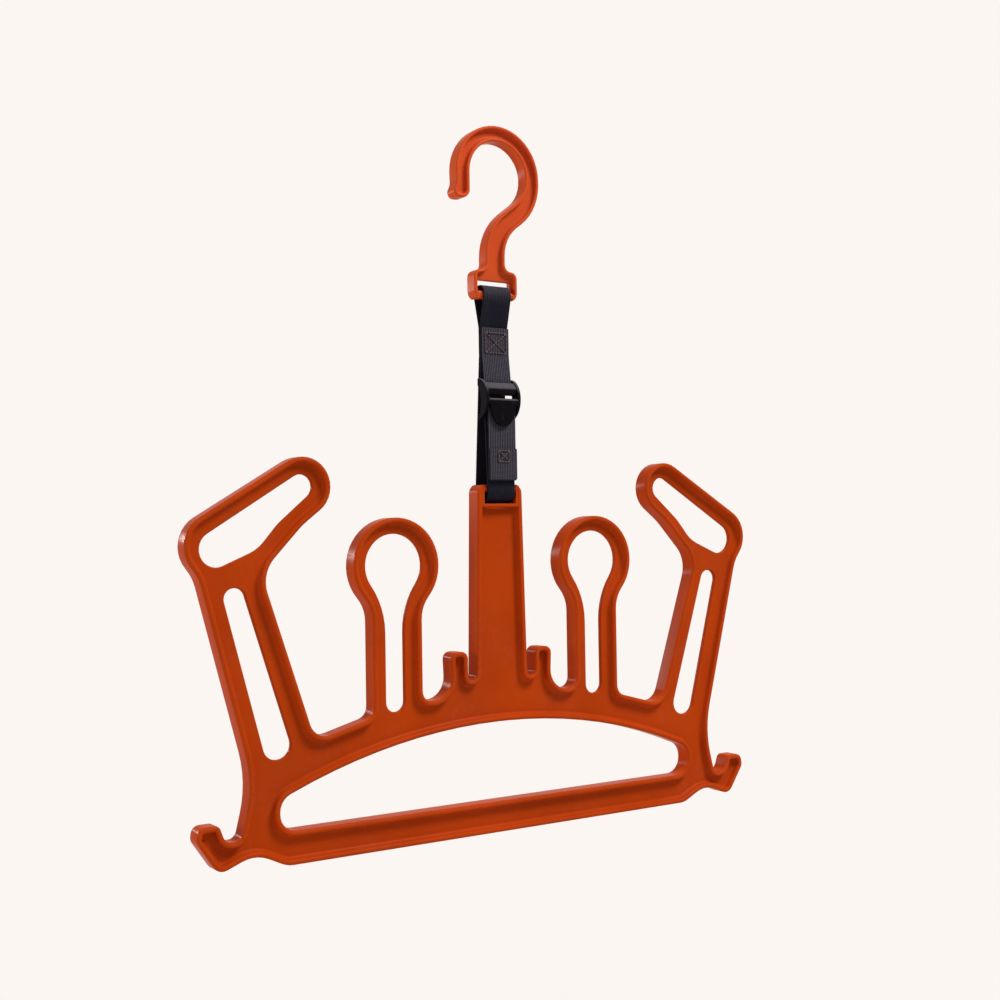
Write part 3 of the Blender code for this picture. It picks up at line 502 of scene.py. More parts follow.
def refill_flats(piece):
    """Fills a moulding's flat faces again, inside the outlines that the rounding left."""
    bm = bmesh.new()
    bm.from_mesh(piece.data)
    flats = {}
    for face in bm.faces:
        if depth_span(face) < FLAT_SPREAD:
            flats.setdefault(round(face.verts[0].co.y / WELD), []).append(face)
    for level, faces in flats.items():
        if sum(face.calc_area() for face in faces) < FLAT_AREA:
            continue
        uses = Counter(edge for face in faces for edge in face.edges)
        rim = [edge for edge, count in uses.items() if count == 1]
        bmesh.ops.delete(bm, geom=faces, context="FACES_KEEP_BOUNDARY")
        bmesh.ops.triangle_fill(
            bm,
            use_beauty=True,
            use_dissolve=False,
            edges=[edge for edge in rim if edge.is_valid],
            normal=(0, math.copysign(1, level), 0),
        )
    bm.to_mesh(piece.data)
    bm.free()


def round_edges(piece, outer, settings):
    """Rounds a moulding's sharp edges as far as the space beside them allows."""
    most = weigh_edges(piece, outer, settings)
    bevel = piece.modifiers.new("rounding", "BEVEL")
    bevel.width = most
    bevel.segments = ROUND_STEPS
    bevel.limit_method = "WEIGHT"
    bevel.use_clamp_overlap = False
    bevel.miter_outer = "MITER_SHARP"
    bevel.loop_slide = False
    apply_modifiers(piece)
    refill_flats(piece)


# Shader nodes and groups


def plug(tree, source, target):
    """Feeds a socket from another socket, or sets it to a plain value."""
    if isinstance(source, bpy.types.NodeSocket):
        tree.links.new(source, target)
    else:
        target.default_value = source


def feed(tree, node, **values):
    """Feeds a node's inputs by their names, with _ for each space."""
    for label, value in values.items():
        plug(tree, value, node.inputs[label.replace("_", " ")])


def calculate(tree, operation, *values):
    """A Math node's result."""
    node = tree.nodes.new("ShaderNodeMath")
    node.operation = operation
    for socket, value in zip(node.inputs, values):
        plug(tree, value, socket)
    return node.outputs[0]


def raised(tree, value, mask, most):
    """A value that a mask raises by up to an amount."""
    return calculate(tree, "MULTIPLY_ADD", mask, most, value)


def ramp(tree, value, low, high):
    """0 at one value and 1 at the other, smooth in between."""
    node = tree.nodes.new("ShaderNodeMapRange")
    node.interpolation_type = "SMOOTHSTEP"
    feed(tree, node, Value=value, From_Min=low, From_Max=high)
    return node.outputs["Result"]


def noise(tree, vector, scale, detail, roughness):
    """Noise from 0 to 1."""
    node = tree.nodes.new("ShaderNodeTexNoise")
    feed(tree, node, Vector=vector, Scale=scale, Detail=detail, Roughness=roughness)
    return node.outputs["Fac"]


def mix_colour(tree, factor, first, second):
    """The first colour, turned into the second by a factor."""
    node = tree.nodes.new("ShaderNodeMix")
    node.data_type = "RGBA"
    feed(tree, node, Factor=factor, A=first, B=second)
    return node.outputs["Result"]


def covered(tree, under, mask, most, tint):
    """A colour with another over it where a mask says, up to a share."""
    return mix_colour(tree, calculate(tree, "MULTIPLY", mask, most), under, (*tint, 1))


def scaled(tint, factor):
    """A colour made darker or lighter."""
    return tuple(min(1, channel * factor) for channel in tint) + (1,)


def parts_of(tree, vector):
    """A vector's X, Y and Z."""
    node = tree.nodes.new("ShaderNodeSeparateXYZ")
    plug(tree, vector, node.inputs[0])
    return node.outputs


def object_place(tree):
    """Where on the object a point is."""
    return tree.nodes.new("ShaderNodeTexCoord").outputs["Object"]


def node_group(name, numbers, results):
    """A shader group of a vector and some numbers, with its input and output sockets."""
    group = bpy.data.node_groups.new(name, "ShaderNodeTree")
    sockets = group.interface
    sockets.new_socket("Vector", in_out="INPUT", socket_type="NodeSocketVector")
    for label, value in numbers.items():
        number = sockets.new_socket(label, in_out="INPUT", socket_type="NodeSocketFloat")
        number.default_value = value
    for label in results:
        sockets.new_socket(label, in_out="OUTPUT", socket_type="NodeSocketFloat")
    given = group.nodes.new("NodeGroupInput").outputs
    made = group.nodes.new("NodeGroupOutput").inputs
    return group, given, made


def moulded_grain():
    """The fine grain of a mould, slow unevenness of its colour, its parting line and scuffs."""
    numbers = {"Grain Size": 0.7 * MM, "Parting Line": 1.0}
    group, given, made = node_group("moulded_grain", numbers, ("Height", "Mottle", "Scuff"))
    place = given["Vector"]
    scale = calculate(group, "DIVIDE", 1.0, given["Grain Size"])
    grain = noise(group, place, scale, detail=2, roughness=0.55)
    depth = calculate(group, "ABSOLUTE", parts_of(group, place)["Y"])
    line = ramp(group, depth, low=0.3 * MM, high=0.05 * MM)
    plug(group, raised(group, grain, line, given["Parting Line"]), made["Height"])
    slow = noise(group, place, scale=16.0, detail=3, roughness=0.6)
    plug(group, ramp(group, slow, low=0.3, high=0.7), made["Mottle"])
    scratch = group.nodes.new("ShaderNodeMapping")
    feed(group, scratch, Vector=place, Scale=SCRATCH_SCALE, Rotation=(0, SCRATCH_SLANT, 0))
    fine = noise(group, scratch.outputs["Vector"], scale=1.0, detail=2, roughness=0.7)
    fine = ramp(group, fine, low=0.58, high=0.72)
    wide = noise(group, place, scale=34.0, detail=2, roughness=0.5)
    wide = ramp(group, wide, low=0.5, high=0.68)
    plug(group, calculate(group, "MULTIPLY", fine, wide), made["Scuff"])
    return group


def woven_webbing():
    """A herringbone of yarns in columns along the strap, read from a map in millimetres."""
    numbers = {"Column": 1.5, "Yarn": 1.0}
    group, given, made = node_group("woven_webbing", numbers, ("Height", "Raised"))
    place = parts_of(group, given["Vector"])
    across = calculate(group, "DIVIDE", place["X"], given["Column"])
    along = calculate(group, "DIVIDE", place["Y"], given["Yarn"])
    inside = calculate(group, "FRACT", across)
    column = calculate(group, "FLOOR", across)
    side = calculate(group, "FLOORED_MODULO", column, 2.0)
    slant = calculate(group, "MULTIPLY_ADD", side, 2.0, -1.0)
    along = raised(group, along, calculate(group, "MULTIPLY", slant, inside), YARN_SLANT)
    turn = calculate(group, "MULTIPLY", along, math.tau)
    yarn = calculate(group, "MULTIPLY_ADD", calculate(group, "COSINE", turn), 0.5, 0.5)
    crown = calculate(group, "SINE", calculate(group, "MULTIPLY", inside, math.pi))
    crown = calculate(group, "POWER", crown, COLUMN_POWER)
    relief = raised(group, 1 - YARN_RELIEF, yarn, YARN_RELIEF)
    height = calculate(group, "MULTIPLY", crown, relief)
    plug(group, height, made["Height"])
    plug(group, ramp(group, height, low=0.35, high=0.95), made["Raised"])
    return group


def dust_patches():
    """Soft patches of dust and wear."""
    group, given, made = node_group("dust_patches", {"Patch Scale": 60.0}, ("Dust",))
    place, scale = given["Vector"], given["Patch Scale"]
    wide = noise(group, place, scale, detail=4, roughness=0.6)
    wide = ramp(group, wide, low=0.45, high=0.75)
    scale = calculate(group, "MULTIPLY", scale, LINT_SCALE)
    fine = noise(group, place, scale, detail=2, roughness=0.5)
    fine = ramp(group, fine, low=0.35, high=0.7)
    plug(group, calculate(group, "MULTIPLY", wide, fine), made["Dust"])
    return group


def place_group(tree, make, **values):
    """Places a group, which its function makes the first time, and gives its outputs."""
    node = tree.nodes.new("ShaderNodeGroup")
    node.node_tree = bpy.data.node_groups.get(make.__name__) or make()
    feed(tree, node, **values)
    return node.outputs


# Finishes


def new_material(name, roughness):
    """A material, its tree and its Principled surface."""
    material = bpy.data.materials.new(name)
    material.use_nodes = True
    surface = material.node_tree.nodes["Principled BSDF"]
    surface.inputs["Roughness"].default_value = roughness
    return material, material.node_tree, surface


def add_bump(tree, surface, height, distance, strength):
    """Raises a surface by a pattern's height."""
    bump = tree.nodes.new("ShaderNodeBump")
    feed(tree, bump, Height=height, Distance=distance, Strength=strength)
    feed(tree, surface, Normal=bump.outputs["Normal"])


def moulded_plastic(name, tint, settings):
    """Satin moulded plastic with a fine grain, a parting line and faint scuffs."""
    material, tree, surface = new_material(name, settings.roughness)
    place = object_place(tree)
    grain = place_group(tree, moulded_grain, Vector=place, Grain_Size=settings.grain_size)
    dust = place_group(tree, dust_patches, Vector=place, Patch_Scale=22.0)
    body = mix_colour(tree, grain["Mottle"], scaled(tint, DARKEST), scaled(tint, PALEST))
    pale = [channel + SCUFF_PALENESS * (1 - channel) for channel in tint]
    body = covered(tree, body, grain["Scuff"], most=0.05, tint=pale)
    body = covered(tree, body, dust["Dust"], most=0.022, tint=DUST_COLOUR)
    dull = raised(tree, settings.roughness, grain["Scuff"], most=0.14)
    dull = raised(tree, dull, grain["Mottle"], most=0.05)
    feed(tree, surface, Base_Color=body, Roughness=dull, IOR=1.09)
    add_bump(tree, surface, grain["Height"], distance=0.05 * MM, strength=0.28)
    return material


def buckle_plastic(settings, inside):
    """Black plastic, glossy but for the side plates, with a painted highlight where it looks up.
    """
    material, tree, surface = new_material("glossy_black_plastic", settings.roughness)
    place = object_place(tree)
    grain = place_group(
        tree, moulded_grain, Vector=place, Grain_Size=0.5 * MM, Parting_Line=0.0
    )
    body = covered(
        tree, (*settings.colour, 1), grain["Scuff"], most=0.35, tint=BUCKLE_SCUFF_COLOUR
    )
    facing = parts_of(tree, tree.nodes.new("ShaderNodeNewGeometry").outputs["Normal"])
    # Faces that look up are painted lighter: a painted highlight on the bars
    bloom = ramp(tree, facing["Z"], low=0.15, high=0.75)
    body = mix_colour(tree, bloom, body, (*settings.bloom, 1))
    side = calculate(tree, "ABSOLUTE", parts_of(tree, place)["X"])
    plate = ramp(tree, side, low=inside, high=inside + settings.plate)
    dull = raised(tree, settings.roughness, grain["Scuff"], most=0.2)
    dull = raised(tree, dull, plate, most=settings.plate_roughness - settings.roughness)
    feed(tree, surface, Base_Color=body, Roughness=dull, IOR=1.12)
    add_bump(tree, surface, grain["Height"], distance=0.02 * MM, strength=0.35)
    return material


def woven_polyester(settings, crown):
    """Dark webbing with raised yarns, paler on its flap and at its end, with a painted highlight
    over the hook's bar.
    """
    material, tree, surface = new_material("woven_polyester", roughness=0.75)
    strap_map = tree.nodes.new("ShaderNodeUVMap")
    strap_map.uv_map = "strap_map"
    weave = place_group(
        tree,
        woven_webbing,
        Vector=strap_map.outputs["UV"],
        Column=settings.column / MM,
        Yarn=settings.yarn / MM,
    )
    dust = place_group(tree, dust_patches, Vector=object_place(tree), Patch_Scale=70.0)
    along = parts_of(tree, strap_map.outputs["UV"])["Y"]
    flap, end = settings.worn_flap / MM, settings.worn_end / MM
    blend = settings.worn_blend / MM
    # Paler raised yarns on the sewn flap and towards the free end
    flap = ramp(tree, along, low=flap + blend, high=flap)
    tail = ramp(tree, along, low=end - blend, high=end)
    # Over the hook's bar the paler colour is a painted highlight
    away = calculate(tree, "ABSOLUTE", calculate(tree, "SUBTRACT", along, crown / MM))
    bend = ramp(tree, away, low=settings.worn_crown / MM, high=0.0)
    paler_and_highlit_mask = calculate(tree, "MAXIMUM", calculate(tree, "MAXIMUM", flap, tail), bend)
    crests = mix_colour(tree, paler_and_highlit_mask, (*settings.highlight, 1), (*settings.worn, 1))
    yarns = mix_colour(tree, weave["Raised"], scaled(settings.colour, GAP_SHADE), crests)
    yarns = covered(tree, yarns, dust["Dust"], most=0.08, tint=LINT_COLOUR)
    feed(tree, surface, Base_Color=yarns, Specular_IOR_Level=0.05)
    add_bump(tree, surface, weave["Height"], distance=0.22 * MM, strength=0.8)
    return material


def sewing_thread(settings):
    """Twisted thread."""
    material, tree, surface = new_material("maroon_thread", roughness=0.6)
    fibre = noise(tree, object_place(tree), scale=2600.0, detail=2, roughness=0.6)
    dark, pale = (scaled(settings.colour, shade) for shade in FIBRE_SHADES)
    tint = mix_colour(tree, fibre, dark, pale)
    feed(tree, surface, Base_Color=tint, Sheen_Weight=0.15)
    add_bump(tree, surface, fibre, distance=0.08 * MM, strength=0.6)
    return material


# Webbing


def tangent_angle(centre, radius, point, side):
    """The angle at which a line from a point touches a circle, on one of its sides."""
    away = math.dist(point, centre)
    toward = math.atan2(point[1] - centre[1], point[0] - centre[0])
    return toward + side * math.acos(radius / away)


def arc(centre, radius, start, end, sag=0.0):
    """Points along an arc, which hangs lower than a circle by its sag."""
    count = max(ARC_STEPS_LEAST, math.ceil(abs(end - start) / ARC_STEP))
    turns = [start + (end - start) * step / count for step in range(count + 1)]
    y, z = centre
    return [(y + radius * math.cos(a), z + (radius + sag) * math.sin(a)) for a in turns]


def round_bar(start, centre, radius, end, side):
    """A strap's line from one point round a bar to another, both left out."""
    first = tangent_angle(centre, radius, start, side)
    last = tangent_angle(centre, radius, end, -side)
    turn = (side * (last - first)) % math.tau
    return arc(centre, radius, first, first + side * turn)


def resample(route, step):
    """Even points (y, z, distance from the start) along a route."""
    spans = [math.dist(a, b) for a, b in zip(route, route[1:])]
    total = sum(spans)
    count = math.ceil(total / step)
    points = []
    index, passed = 0, 0.0
    for i in range(count + 1):
        target = total * i / count
        while index < len(spans) - 1 and passed + spans[index] < target:
            passed += spans[index]
            index += 1
        part = (target - passed) / spans[index]
        a, b = route[index], route[index + 1]
        points.append((a[0] + (b[0] - a[0]) * part, a[1] + (b[1] - a[1]) * part, target))
    return points


def round_selvedges(strip, rounding):
    """Rounds the long edges of a thickened strap."""
    activate(strip)
    bpy.ops.object.mode_set(mode="EDIT")
    bpy.ops.mesh.select_all(action="DESELECT")
    bpy.ops.object.mode_set(mode="OBJECT")
    limit = WEBBING_WIDTH / 2 - WELD
    bm = bmesh.new()
    bm.from_mesh(strip.data)
    for edge in bm.edges:
        on_side = all(abs(vertex.co.x) > limit for vertex in edge.verts)
        edge.select = on_side and edge.calc_face_angle(0) > SELVEDGE_ANGLE
    bm.to_mesh(strip.data)
    bm.free()
    bpy.ops.object.mode_set(mode="EDIT")
    bpy.ops.mesh.select_mode(type="EDGE")
    bpy.ops.mesh.bevel(offset=rounding, segments=ROUND_STEPS, clamp_overlap=False)
    close_outward()


def webbing_strip(name, route, settings, material, along=0.0):
    """A strap along a route of points (y, z), and how far along the webbing it ends."""
    points = resample(route, settings.row)
    rows = len(points) - 1
    bpy.ops.mesh.primitive_grid_add(
        x_subdivisions=WEBBING_COLUMNS, y_subdivisions=rows, size=1
    )
    strip = bpy.context.object
    strip.name = name
    strip.data.name = name
    strip.data.uv_layers[0].name = "strap_map"
    places = []
    for vertex in strip.data.vertices:
        y, z, distance = points[round((vertex.co.y + 0.5) * rows)]
        across = vertex.co.x * WEBBING_WIDTH
        vertex.co = (across, y, z)
        places.append(((across + WEBBING_WIDTH / 2) / MM, (distance + along) / MM))
    for loop in strip.data.loops:
        strip.data.uv_layers[0].data[loop.index].uv = places[loop.vertex_index]
    wall = strip.modifiers.new("thickness", "SOLIDIFY")
    wall.thickness = WEBBING_THICK
    wall.offset = 0
    apply_modifiers(strip)
    round_selvedges(strip, settings.edge_rounding)
    finish_piece(strip, material)
    return strip, points[-1][2] + along


def grip_bar():
    """The middle of the bar that grips the strap, as (y, z)."""
    radius = (GRIP_HIGH.y - GRIP_LOW.y) / 2 - HALF_THICK
    return (TAIL_LAYER + radius, GRIP_HIGH.z - HALF_THICK - radius)


# Operators


class HANGER_OT_frame_moulding(bpy.types.Operator):
    """Models the frame with its rounded edges"""

    bl_idname = "hanger.frame_moulding"
    bl_label = "Frame moulding"

    def execute(self, context):
        settings = context.scene.hanger_mouldings
        piece = copy_of_node("frame_moulding", "frame_body")
        round_edges(piece, settings.frame_rounding, settings)
        material = moulded_plastic("moulded_frame_plastic", settings.frame_colour, settings)
        finish_piece(piece, material)
        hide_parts("frame_moulding")
        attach(piece, "frame")
        return {"FINISHED"}


class HANGER_OT_hook_moulding(bpy.types.Operator):
    """Models the hook with its rounded edges"""

    bl_idname = "hanger.hook_moulding"
    bl_label = "Hook moulding"

    def execute(self, context):
        settings = context.scene.hanger_mouldings
        piece = copy_of_node("hook_moulding", "hook_body")
        round_edges(piece, settings.hook_rounding, settings)
        material = moulded_plastic("moulded_hook_plastic", settings.hook_colour, settings)
        finish_piece(piece, material)
        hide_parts("hook_moulding")
        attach(piece, "hook")
        return {"FINISHED"}


class HANGER_OT_webbing(bpy.types.Operator):
    """Models the strap: its loop and sewn part, its foot, its turn in the buckle and its end"""

    bl_idname = "hanger.webbing"
    bl_label = "Webbing strap"

    def execute(self, context):
        settings = context.scene.hanger_webbing
        grip = grip_bar()
        bar_radius = GRIP_HIGH.z - HALF_THICK - grip[1]
        split = grip[1] - GRIP_SPLIT

        # From the flap's end round the buckle's fixed bar, up, over the hook's bar and down
        loop_radius = LOOP_HIGH.y - HALF_THICK
        route = [
            FLAP_TOP,
            FLAP_FOOT,
            *round_bar(FLAP_FOOT, FIXED_BAR.yz, bar_radius, FRONT_FOOT, 1),
            FRONT_FOOT,
            FRONT_TOP,
            *round_bar(FRONT_TOP, HOOK_BAR.yz, loop_radius, BACK_TOP, -1),
            BACK_TOP,
            BACK_FOOT,
        ]
        crown = max(resample(route, settings.row), key=lambda point: point[1])[2]
        material = woven_polyester(settings, crown)
        upper, along = webbing_strip("strap_upper_webbing", route, settings, material)
        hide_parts("strap_hook_loop", "strap_sewn_flap", "strap_sewn_back")
        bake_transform(upper)

        # Down the back, round the mast's bar and up in front to just below the grip bar
        foot_radius = FOOT_HIGH.y - HALF_THICK
        touch = tangent_angle(grip, bar_radius, (-foot_radius, MAST_BAR.z), 1)
        over_bar = arc(grip, bar_radius, touch, math.pi)
        part = (split - MAST_BAR.z) / (over_bar[0][1] - MAST_BAR.z)
        meet = (-foot_radius + (over_bar[0][0] + foot_radius) * part, split)
        round_mast = arc(MAST_BAR.yz, foot_radius, 0, -math.pi, settings.foot_sag)
        route = [BACK_FOOT, *round_mast, meet]
        foot, along = webbing_strip("strap_foot_webbing", route, settings, material, along)
        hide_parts("strap_back_run", "strap_mast_loop", "strap_front_run")
        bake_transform(foot)

        # Over the grip bar
        route = [meet, *over_bar, (TAIL_LAYER, split)]
        turn, along = webbing_strip("strap_grip_webbing", route, settings, material, along)
        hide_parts("strap_grip_wrap")
        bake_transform(turn)

        # Down to the hem, which is folded forward
        fold = LAYER_PITCH / 2
        fold_place = HEM_LOW.z + fold + HALF_THICK
        route = [
            (TAIL_LAYER, split),
            (TAIL_LAYER, fold_place),
            *arc((TAIL_LAYER - fold, fold_place), fold, 0, -math.pi),
            (TAIL_LAYER - LAYER_PITCH, HEM_HIGH.z),
        ]
        tail, along = webbing_strip("strap_end_webbing", route, settings, material, along)
        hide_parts("strap_tail", "strap_hem")
        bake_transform(tail)
        return {"FINISHED"}


class HANGER_OT_buckle(bpy.types.Operator):
    """Models the ladder-lock buckle"""

    bl_idname = "hanger.buckle"
    bl_label = "Ladder-lock buckle"

    def execute(self, context):
        settings = context.scene.hanger_buckle
        low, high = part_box("ladder_lock_buckle")
        inside = high.x - settings.plate
        reach = inside + settings.join
        side = self.plate_outline(low.y, high.y)
        plates = [
            extruded("plate", [(start, y, z) for y, z in side], (settings.plate, 0, 0))
            for start in (inside, -high.x)
        ]
        bars = [self.bar(corners, reach) for corners in (UPPER_BAR, LOWER_BAR)]
        rods = [self.rod(place, reach, settings) for place in (FIXED_BAR.yz, grip_bar())]
        tab = self.thumb_tab(low, settings)
        for piece in (*plates, tab):
            bevel = piece.modifiers.new("rounding", "BEVEL")
            bevel.width = settings.rounding
            bevel.segments = ROUND_STEPS
            bevel.angle_limit = SHARP_ANGLE
            apply_modifiers(piece)
        body = joined("buckle_body", [*plates, *bars, *rods, tab])
        finish_piece(body, buckle_plastic(settings, inside))
        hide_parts("ladder_lock_buckle")
        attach(body, "buckle")
        return {"FINISHED"}

    def bar(self, corners, reach):
        """A bar across the buckle, from its section's corners (forward, below, radius) in mm."""
        y, z = FIXED_BAR.yz
        outline = rounded_outline([(y - a * MM, z - b * MM, r * MM) for a, b, r in corners])
        return extruded("bar", [(-reach, y, z) for y, z in outline], (2 * reach, 0, 0))

    def plate_outline(self, front, back):
        """A side plate as points (y, z), half round in front and hollow behind."""
        outer = half_round(PLATE_RADIUS, back - front)
        hollow = half_round(-HOLLOW_RADIUS, HOLLOW_DEPTH)
        plate, inner = FIXED_BAR.z - PLATE_MIDDLE, FIXED_BAR.z - HOLLOW_MIDDLE
        points = [(back - out, plate + rise) for rise, out in outer]
        return points + [(back - out, inner + rise) for rise, out in hollow]

    def rod(self, place, reach, settings):
        """A round bar across the buckle at a place (y, z)."""
        bpy.ops.mesh.primitive_cylinder_add(
            vertices=ROD_SIDES,
            radius=settings.rod_radius,
            depth=2 * reach,
            location=(0, *place),
            rotation=(0, math.pi / 2, 0),
        )
        return bpy.context.object

    def thumb_tab(self, low, settings):
        """The half-round thumb tab below the lower bar."""
        half = settings.tab_width / 2
        thick = settings.tab_thick
        top = FIXED_BAR.z - LOWER_BAR[-1][1] * MM + thick
        middle = FIXED_BAR.z - settings.tab_start
        outline = [(-half, top), (half, top)]
        outline += [(x, middle - fall) for x, fall in half_round(half, middle - low.z)]
        face = low.y + settings.tab_inset
        return extruded("thumb_tab", [(x, face, z) for x, z in outline], (0, thick, 0))


class HANGER_OT_stitching(bpy.types.Operator):
    """Sews the crossed box on the strap and the tack on its hem"""

    bl_idname = "hanger.stitching"
    bl_label = "Stitching"

    def execute(self, context):
        settings = context.scene.hanger_stitching
        material = sewing_thread(settings)
        cross = self.sew("box_stitch_threads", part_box("box_stitch"), settings, material)
        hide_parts("box_stitch")
        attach(cross, "strap_top")
        tack = self.sew("hem_stitch_threads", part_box("hem_stitch"), settings, material)
        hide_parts("hem_stitch")
        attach(tack, "strap_end")
        return {"FINISHED"}

    def sew(self, name, box, settings, material):
        """Stitches round a box and across both of its diagonals, on its back."""
        low, high = box
        left, right = low.x + settings.thread, high.x - settings.thread
        foot, top = low.z + settings.thread, high.z - settings.thread
        plane = high.y - STITCH_SINK * settings.thread
        corners = ((left, foot), (right, foot), (right, top), (left, top))
        lines = [*zip(corners, corners[1:] + corners[:1])]
        lines += [(corners[0], corners[2]), (corners[3], corners[1])]
        made = [
            self.stitch(x, plane, z, slope, span, settings.thread)
            for start, end in lines
            for x, z, slope, span in self.stitch_places(start, end, settings)
        ]
        piece = joined(name, made)
        finish_piece(piece, material)
        return piece

    def stitch(self, x, y, z, slope, span, thread):
        """One stitch, which arches forward from the webbing."""
        bpy.ops.mesh.primitive_uv_sphere_add(
            segments=STITCH_SIDES, ring_count=STITCH_SIDES, radius=thread, location=(0, 0, 0)
        )
        stitch = bpy.context.object
        for vertex in stitch.data.vertices:
            vertex.co.z += math.copysign(span / 2 - thread, vertex.co.z)
            arch = math.cos(vertex.co.z / span * math.pi)
            vertex.co.y -= STITCH_ARCH * thread * arch
        stitch.data.transform(Matrix.Rotation(math.pi / 2 - slope, 4, "Y"))
        stitch.data.transform(Matrix.Translation((x, y, z)))
        return stitch

    def stitch_places(self, start, end, settings):
        """The middle, slope and length of each stitch between two points (x, z)."""
        start, run = Vector(start), Vector(end) - Vector(start)
        count = max(1, round(run.length / (settings.stitch + settings.gap)))
        slope = math.atan2(run.y, run.x)
        span = run.length / count - settings.gap
        return [(*(start + run * (i + 0.5) / count), slope, span) for i in range(count)]


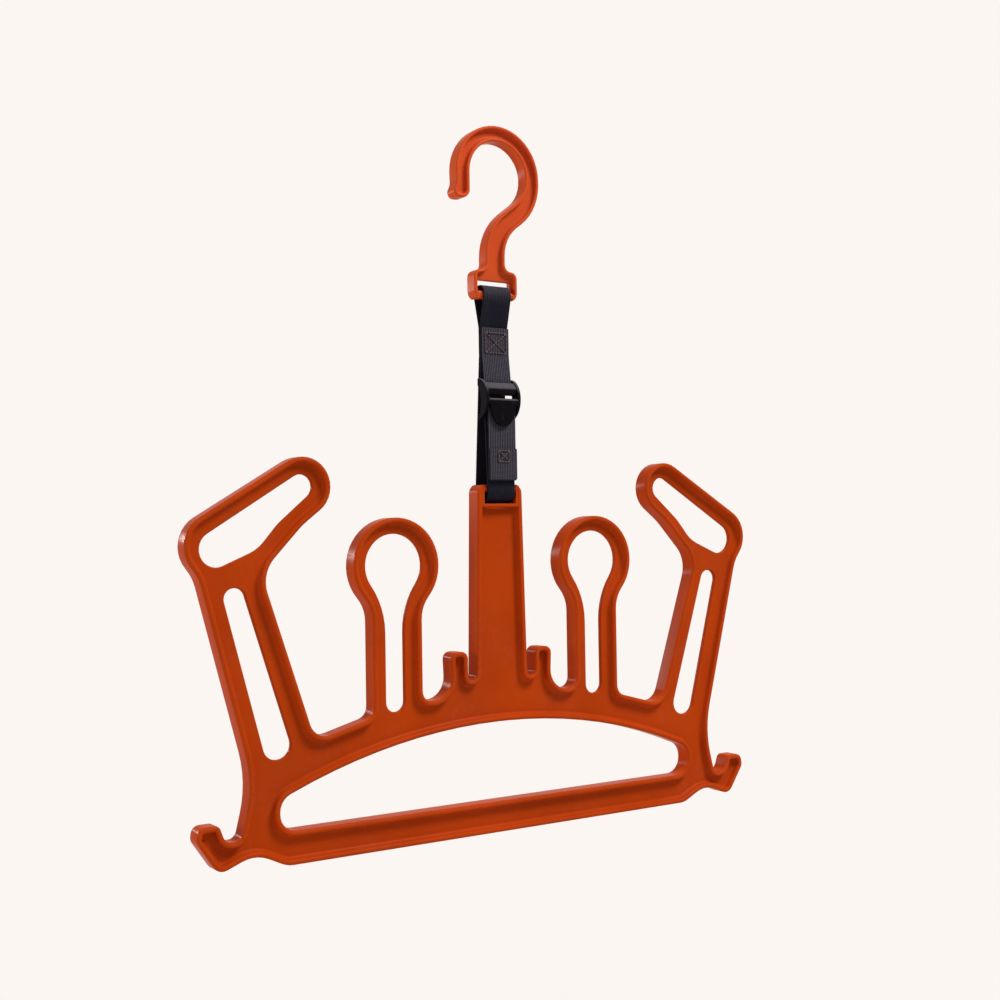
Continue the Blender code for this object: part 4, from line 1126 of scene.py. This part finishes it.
class HANGER_OT_stage(bpy.types.Operator):
    """Sets the floor, the light and the camera"""

    bl_idname = "hanger.stage"
    bl_label = "Stage"

    def execute(self, context):
        settings = context.scene.hanger_stage
        self.add_floor(settings)
        self.add_world(settings)
        for light in STUDIO_LIGHTS:
            self.add_light(*light)
        self.add_camera(settings)
        context.scene.view_settings.view_transform = "Standard"
        return {"FINISHED"}

    def seen_rays(self, tree):
        """1 for the rays that show the backdrop, and 0 for those that light the object."""
        path = tree.nodes.new("ShaderNodeLightPath").outputs
        mirrored = calculate(
            tree, "MAXIMUM", path["Is Glossy Ray"], path["Is Transmission Ray"]
        )
        return calculate(tree, "MAXIMUM", path["Is Camera Ray"], mirrored)

    def shader(self, tree, kind, tint):
        """A shader of one colour."""
        node = tree.nodes.new(kind)
        feed(tree, node, Color=(*tint, 1))
        return node

    def mix_shaders(self, tree, factor, lit, seen, output):
        """Gives an output one shader, and another for the rays that a factor names."""
        mix = tree.nodes.new("ShaderNodeMixShader")
        feed(tree, mix, Fac=factor)
        tree.links.new(lit.outputs[0], mix.inputs[1])
        tree.links.new(seen.outputs[0], mix.inputs[2])
        tree.links.new(mix.outputs[0], tree.nodes[output].inputs["Surface"])

    def add_floor(self, settings):
        """A pale floor under the hanging object, which keeps its shadow."""
        bpy.ops.mesh.primitive_circle_add(
            vertices=FLOOR_SIDES,
            radius=settings.floor_radius,
            fill_type="NGON",
            location=(0, 0, CAD_BOX[0].z - settings.floor_drop),
        )
        floor = bpy.context.object
        floor.name = "floor"
        material = bpy.data.materials.new("pale_floor")
        material.use_nodes = True
        tree = material.node_tree
        tree.nodes.remove(tree.nodes["Principled BSDF"])
        matt = self.shader(tree, "ShaderNodeBsdfDiffuse", settings.backdrop)
        glow = self.shader(tree, "ShaderNodeEmission", settings.backdrop)
        reach = tree.nodes.new("ShaderNodeVectorMath")
        reach.operation = "LENGTH"
        plug(tree, object_place(tree), reach.inputs[0])
        fade = ramp(tree, reach.outputs["Value"], settings.floor_fade, settings.floor_radius)
        shown = raised(tree, settings.floor_glow, fade, most=1 - settings.floor_glow)
        shown = calculate(tree, "MULTIPLY", self.seen_rays(tree), shown)
        self.mix_shaders(tree, shown, matt, glow, "Material Output")
        floor.data.materials.append(material)

    def add_world(self, settings):
        """Even light all round, and the pale backdrop where it is seen."""
        world = bpy.data.worlds.new("studio")
        bpy.context.scene.world = world
        world.use_nodes = True
        tree = world.node_tree
        light = tree.nodes["Background"]
        feed(tree, light, Color=(1, 1, 1, 1), Strength=settings.ambient)
        backdrop = self.shader(tree, "ShaderNodeBackground", settings.backdrop)
        self.mix_shaders(tree, self.seen_rays(tree), light, backdrop, "World Output")

    def add_light(self, name, offset, size, power):
        """A soft light, of its width and height, that faces the object."""
        lamp = bpy.data.lights.new(name, "AREA")
        lamp.shape = "RECTANGLE"
        lamp.size, lamp.size_y = size
        lamp.energy = power
        item = added(name, lamp)
        item.location = (CAD_BOX[0] + CAD_BOX[1]) / 2 + Vector(offset)
        item.rotation_mode = "QUATERNION"
        item.rotation_quaternion = (-Vector(offset)).to_track_quat("-Z", "Y")

    def add_camera(self, settings):
        """The camera, where the photograph was taken from."""
        heading = Matrix.Rotation(-settings.bearing, 4, "Z")
        place = Vector((settings.aside, -settings.distance, settings.height))
        tilt = Matrix.Rotation(math.pi / 2 + settings.pitch, 4, "X")
        lean = Matrix.Rotation(settings.roll, 4, "Z")
        camera = bpy.data.cameras.new("photo_camera")
        camera.lens = settings.lens / MM
        camera.sensor_width = SENSOR_WIDTH
        camera.clip_start = CLIP_START
        item = added("photo_camera", camera)
        item.matrix_world = heading @ Matrix.Translation(place) @ tilt @ lean
        bpy.context.scene.camera = item


class HANGER_PT_panel(bpy.types.Panel):
    """Lists the steps and their settings"""

    bl_idname = "HANGER_PT_panel"
    bl_label = "Wetsuit hanger"
    bl_space_type = "VIEW_3D"
    bl_region_type = "UI"
    bl_category = "Hanger"

    def draw(self, context):
        for step, group in STEPS:
            self.layout.operator(step.bl_idname)
            if group:
                settings = getattr(context.scene, group)
                for name in settings.__annotations__:
                    self.layout.prop(settings, name)


SETTINGS = {
    "hanger_mouldings": HangerMouldingSettings,
    "hanger_webbing": HangerWebbingSettings,
    "hanger_buckle": HangerBuckleSettings,
    "hanger_stitching": HangerStitchSettings,
    "hanger_stage": HangerStageSettings,
}

# The operators in their order, with the settings that the panel lists under each
STEPS = (
    (HANGER_OT_frame_moulding, "hanger_mouldings"),
    (HANGER_OT_hook_moulding, None),
    (HANGER_OT_webbing, "hanger_webbing"),
    (HANGER_OT_buckle, "hanger_buckle"),
    (HANGER_OT_stitching, "hanger_stitching"),
    (HANGER_OT_stage, "hanger_stage"),
)
CLASSES = (*(step for step, _ in STEPS), HANGER_PT_panel)


def register():
    """Registers the settings, the operators and the panel."""
    for name, group in SETTINGS.items():
        bpy.utils.register_class(group)
        setattr(bpy.types.Scene, name, PointerProperty(type=group))
    for item in CLASSES:
        bpy.utils.register_class(item)


def unregister():
    """Takes them back in the other order."""
    for item in reversed(CLASSES):
        bpy.utils.unregister_class(item)
    for name, group in reversed(SETTINGS.items()):
        delattr(bpy.types.Scene, name)
        bpy.utils.unregister_class(group)


def main():
    """Clears the default objects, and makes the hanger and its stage."""
    for item in ("Cube", "Light", "Camera"):
        if item in bpy.data.objects:
            bpy.data.objects.remove(bpy.data.objects[item])
    register()
    for step, _ in STEPS:
        area, name = step.bl_idname.split(".")
        getattr(getattr(bpy.ops, area), name)()


if __name__ == "__main__":
    main()
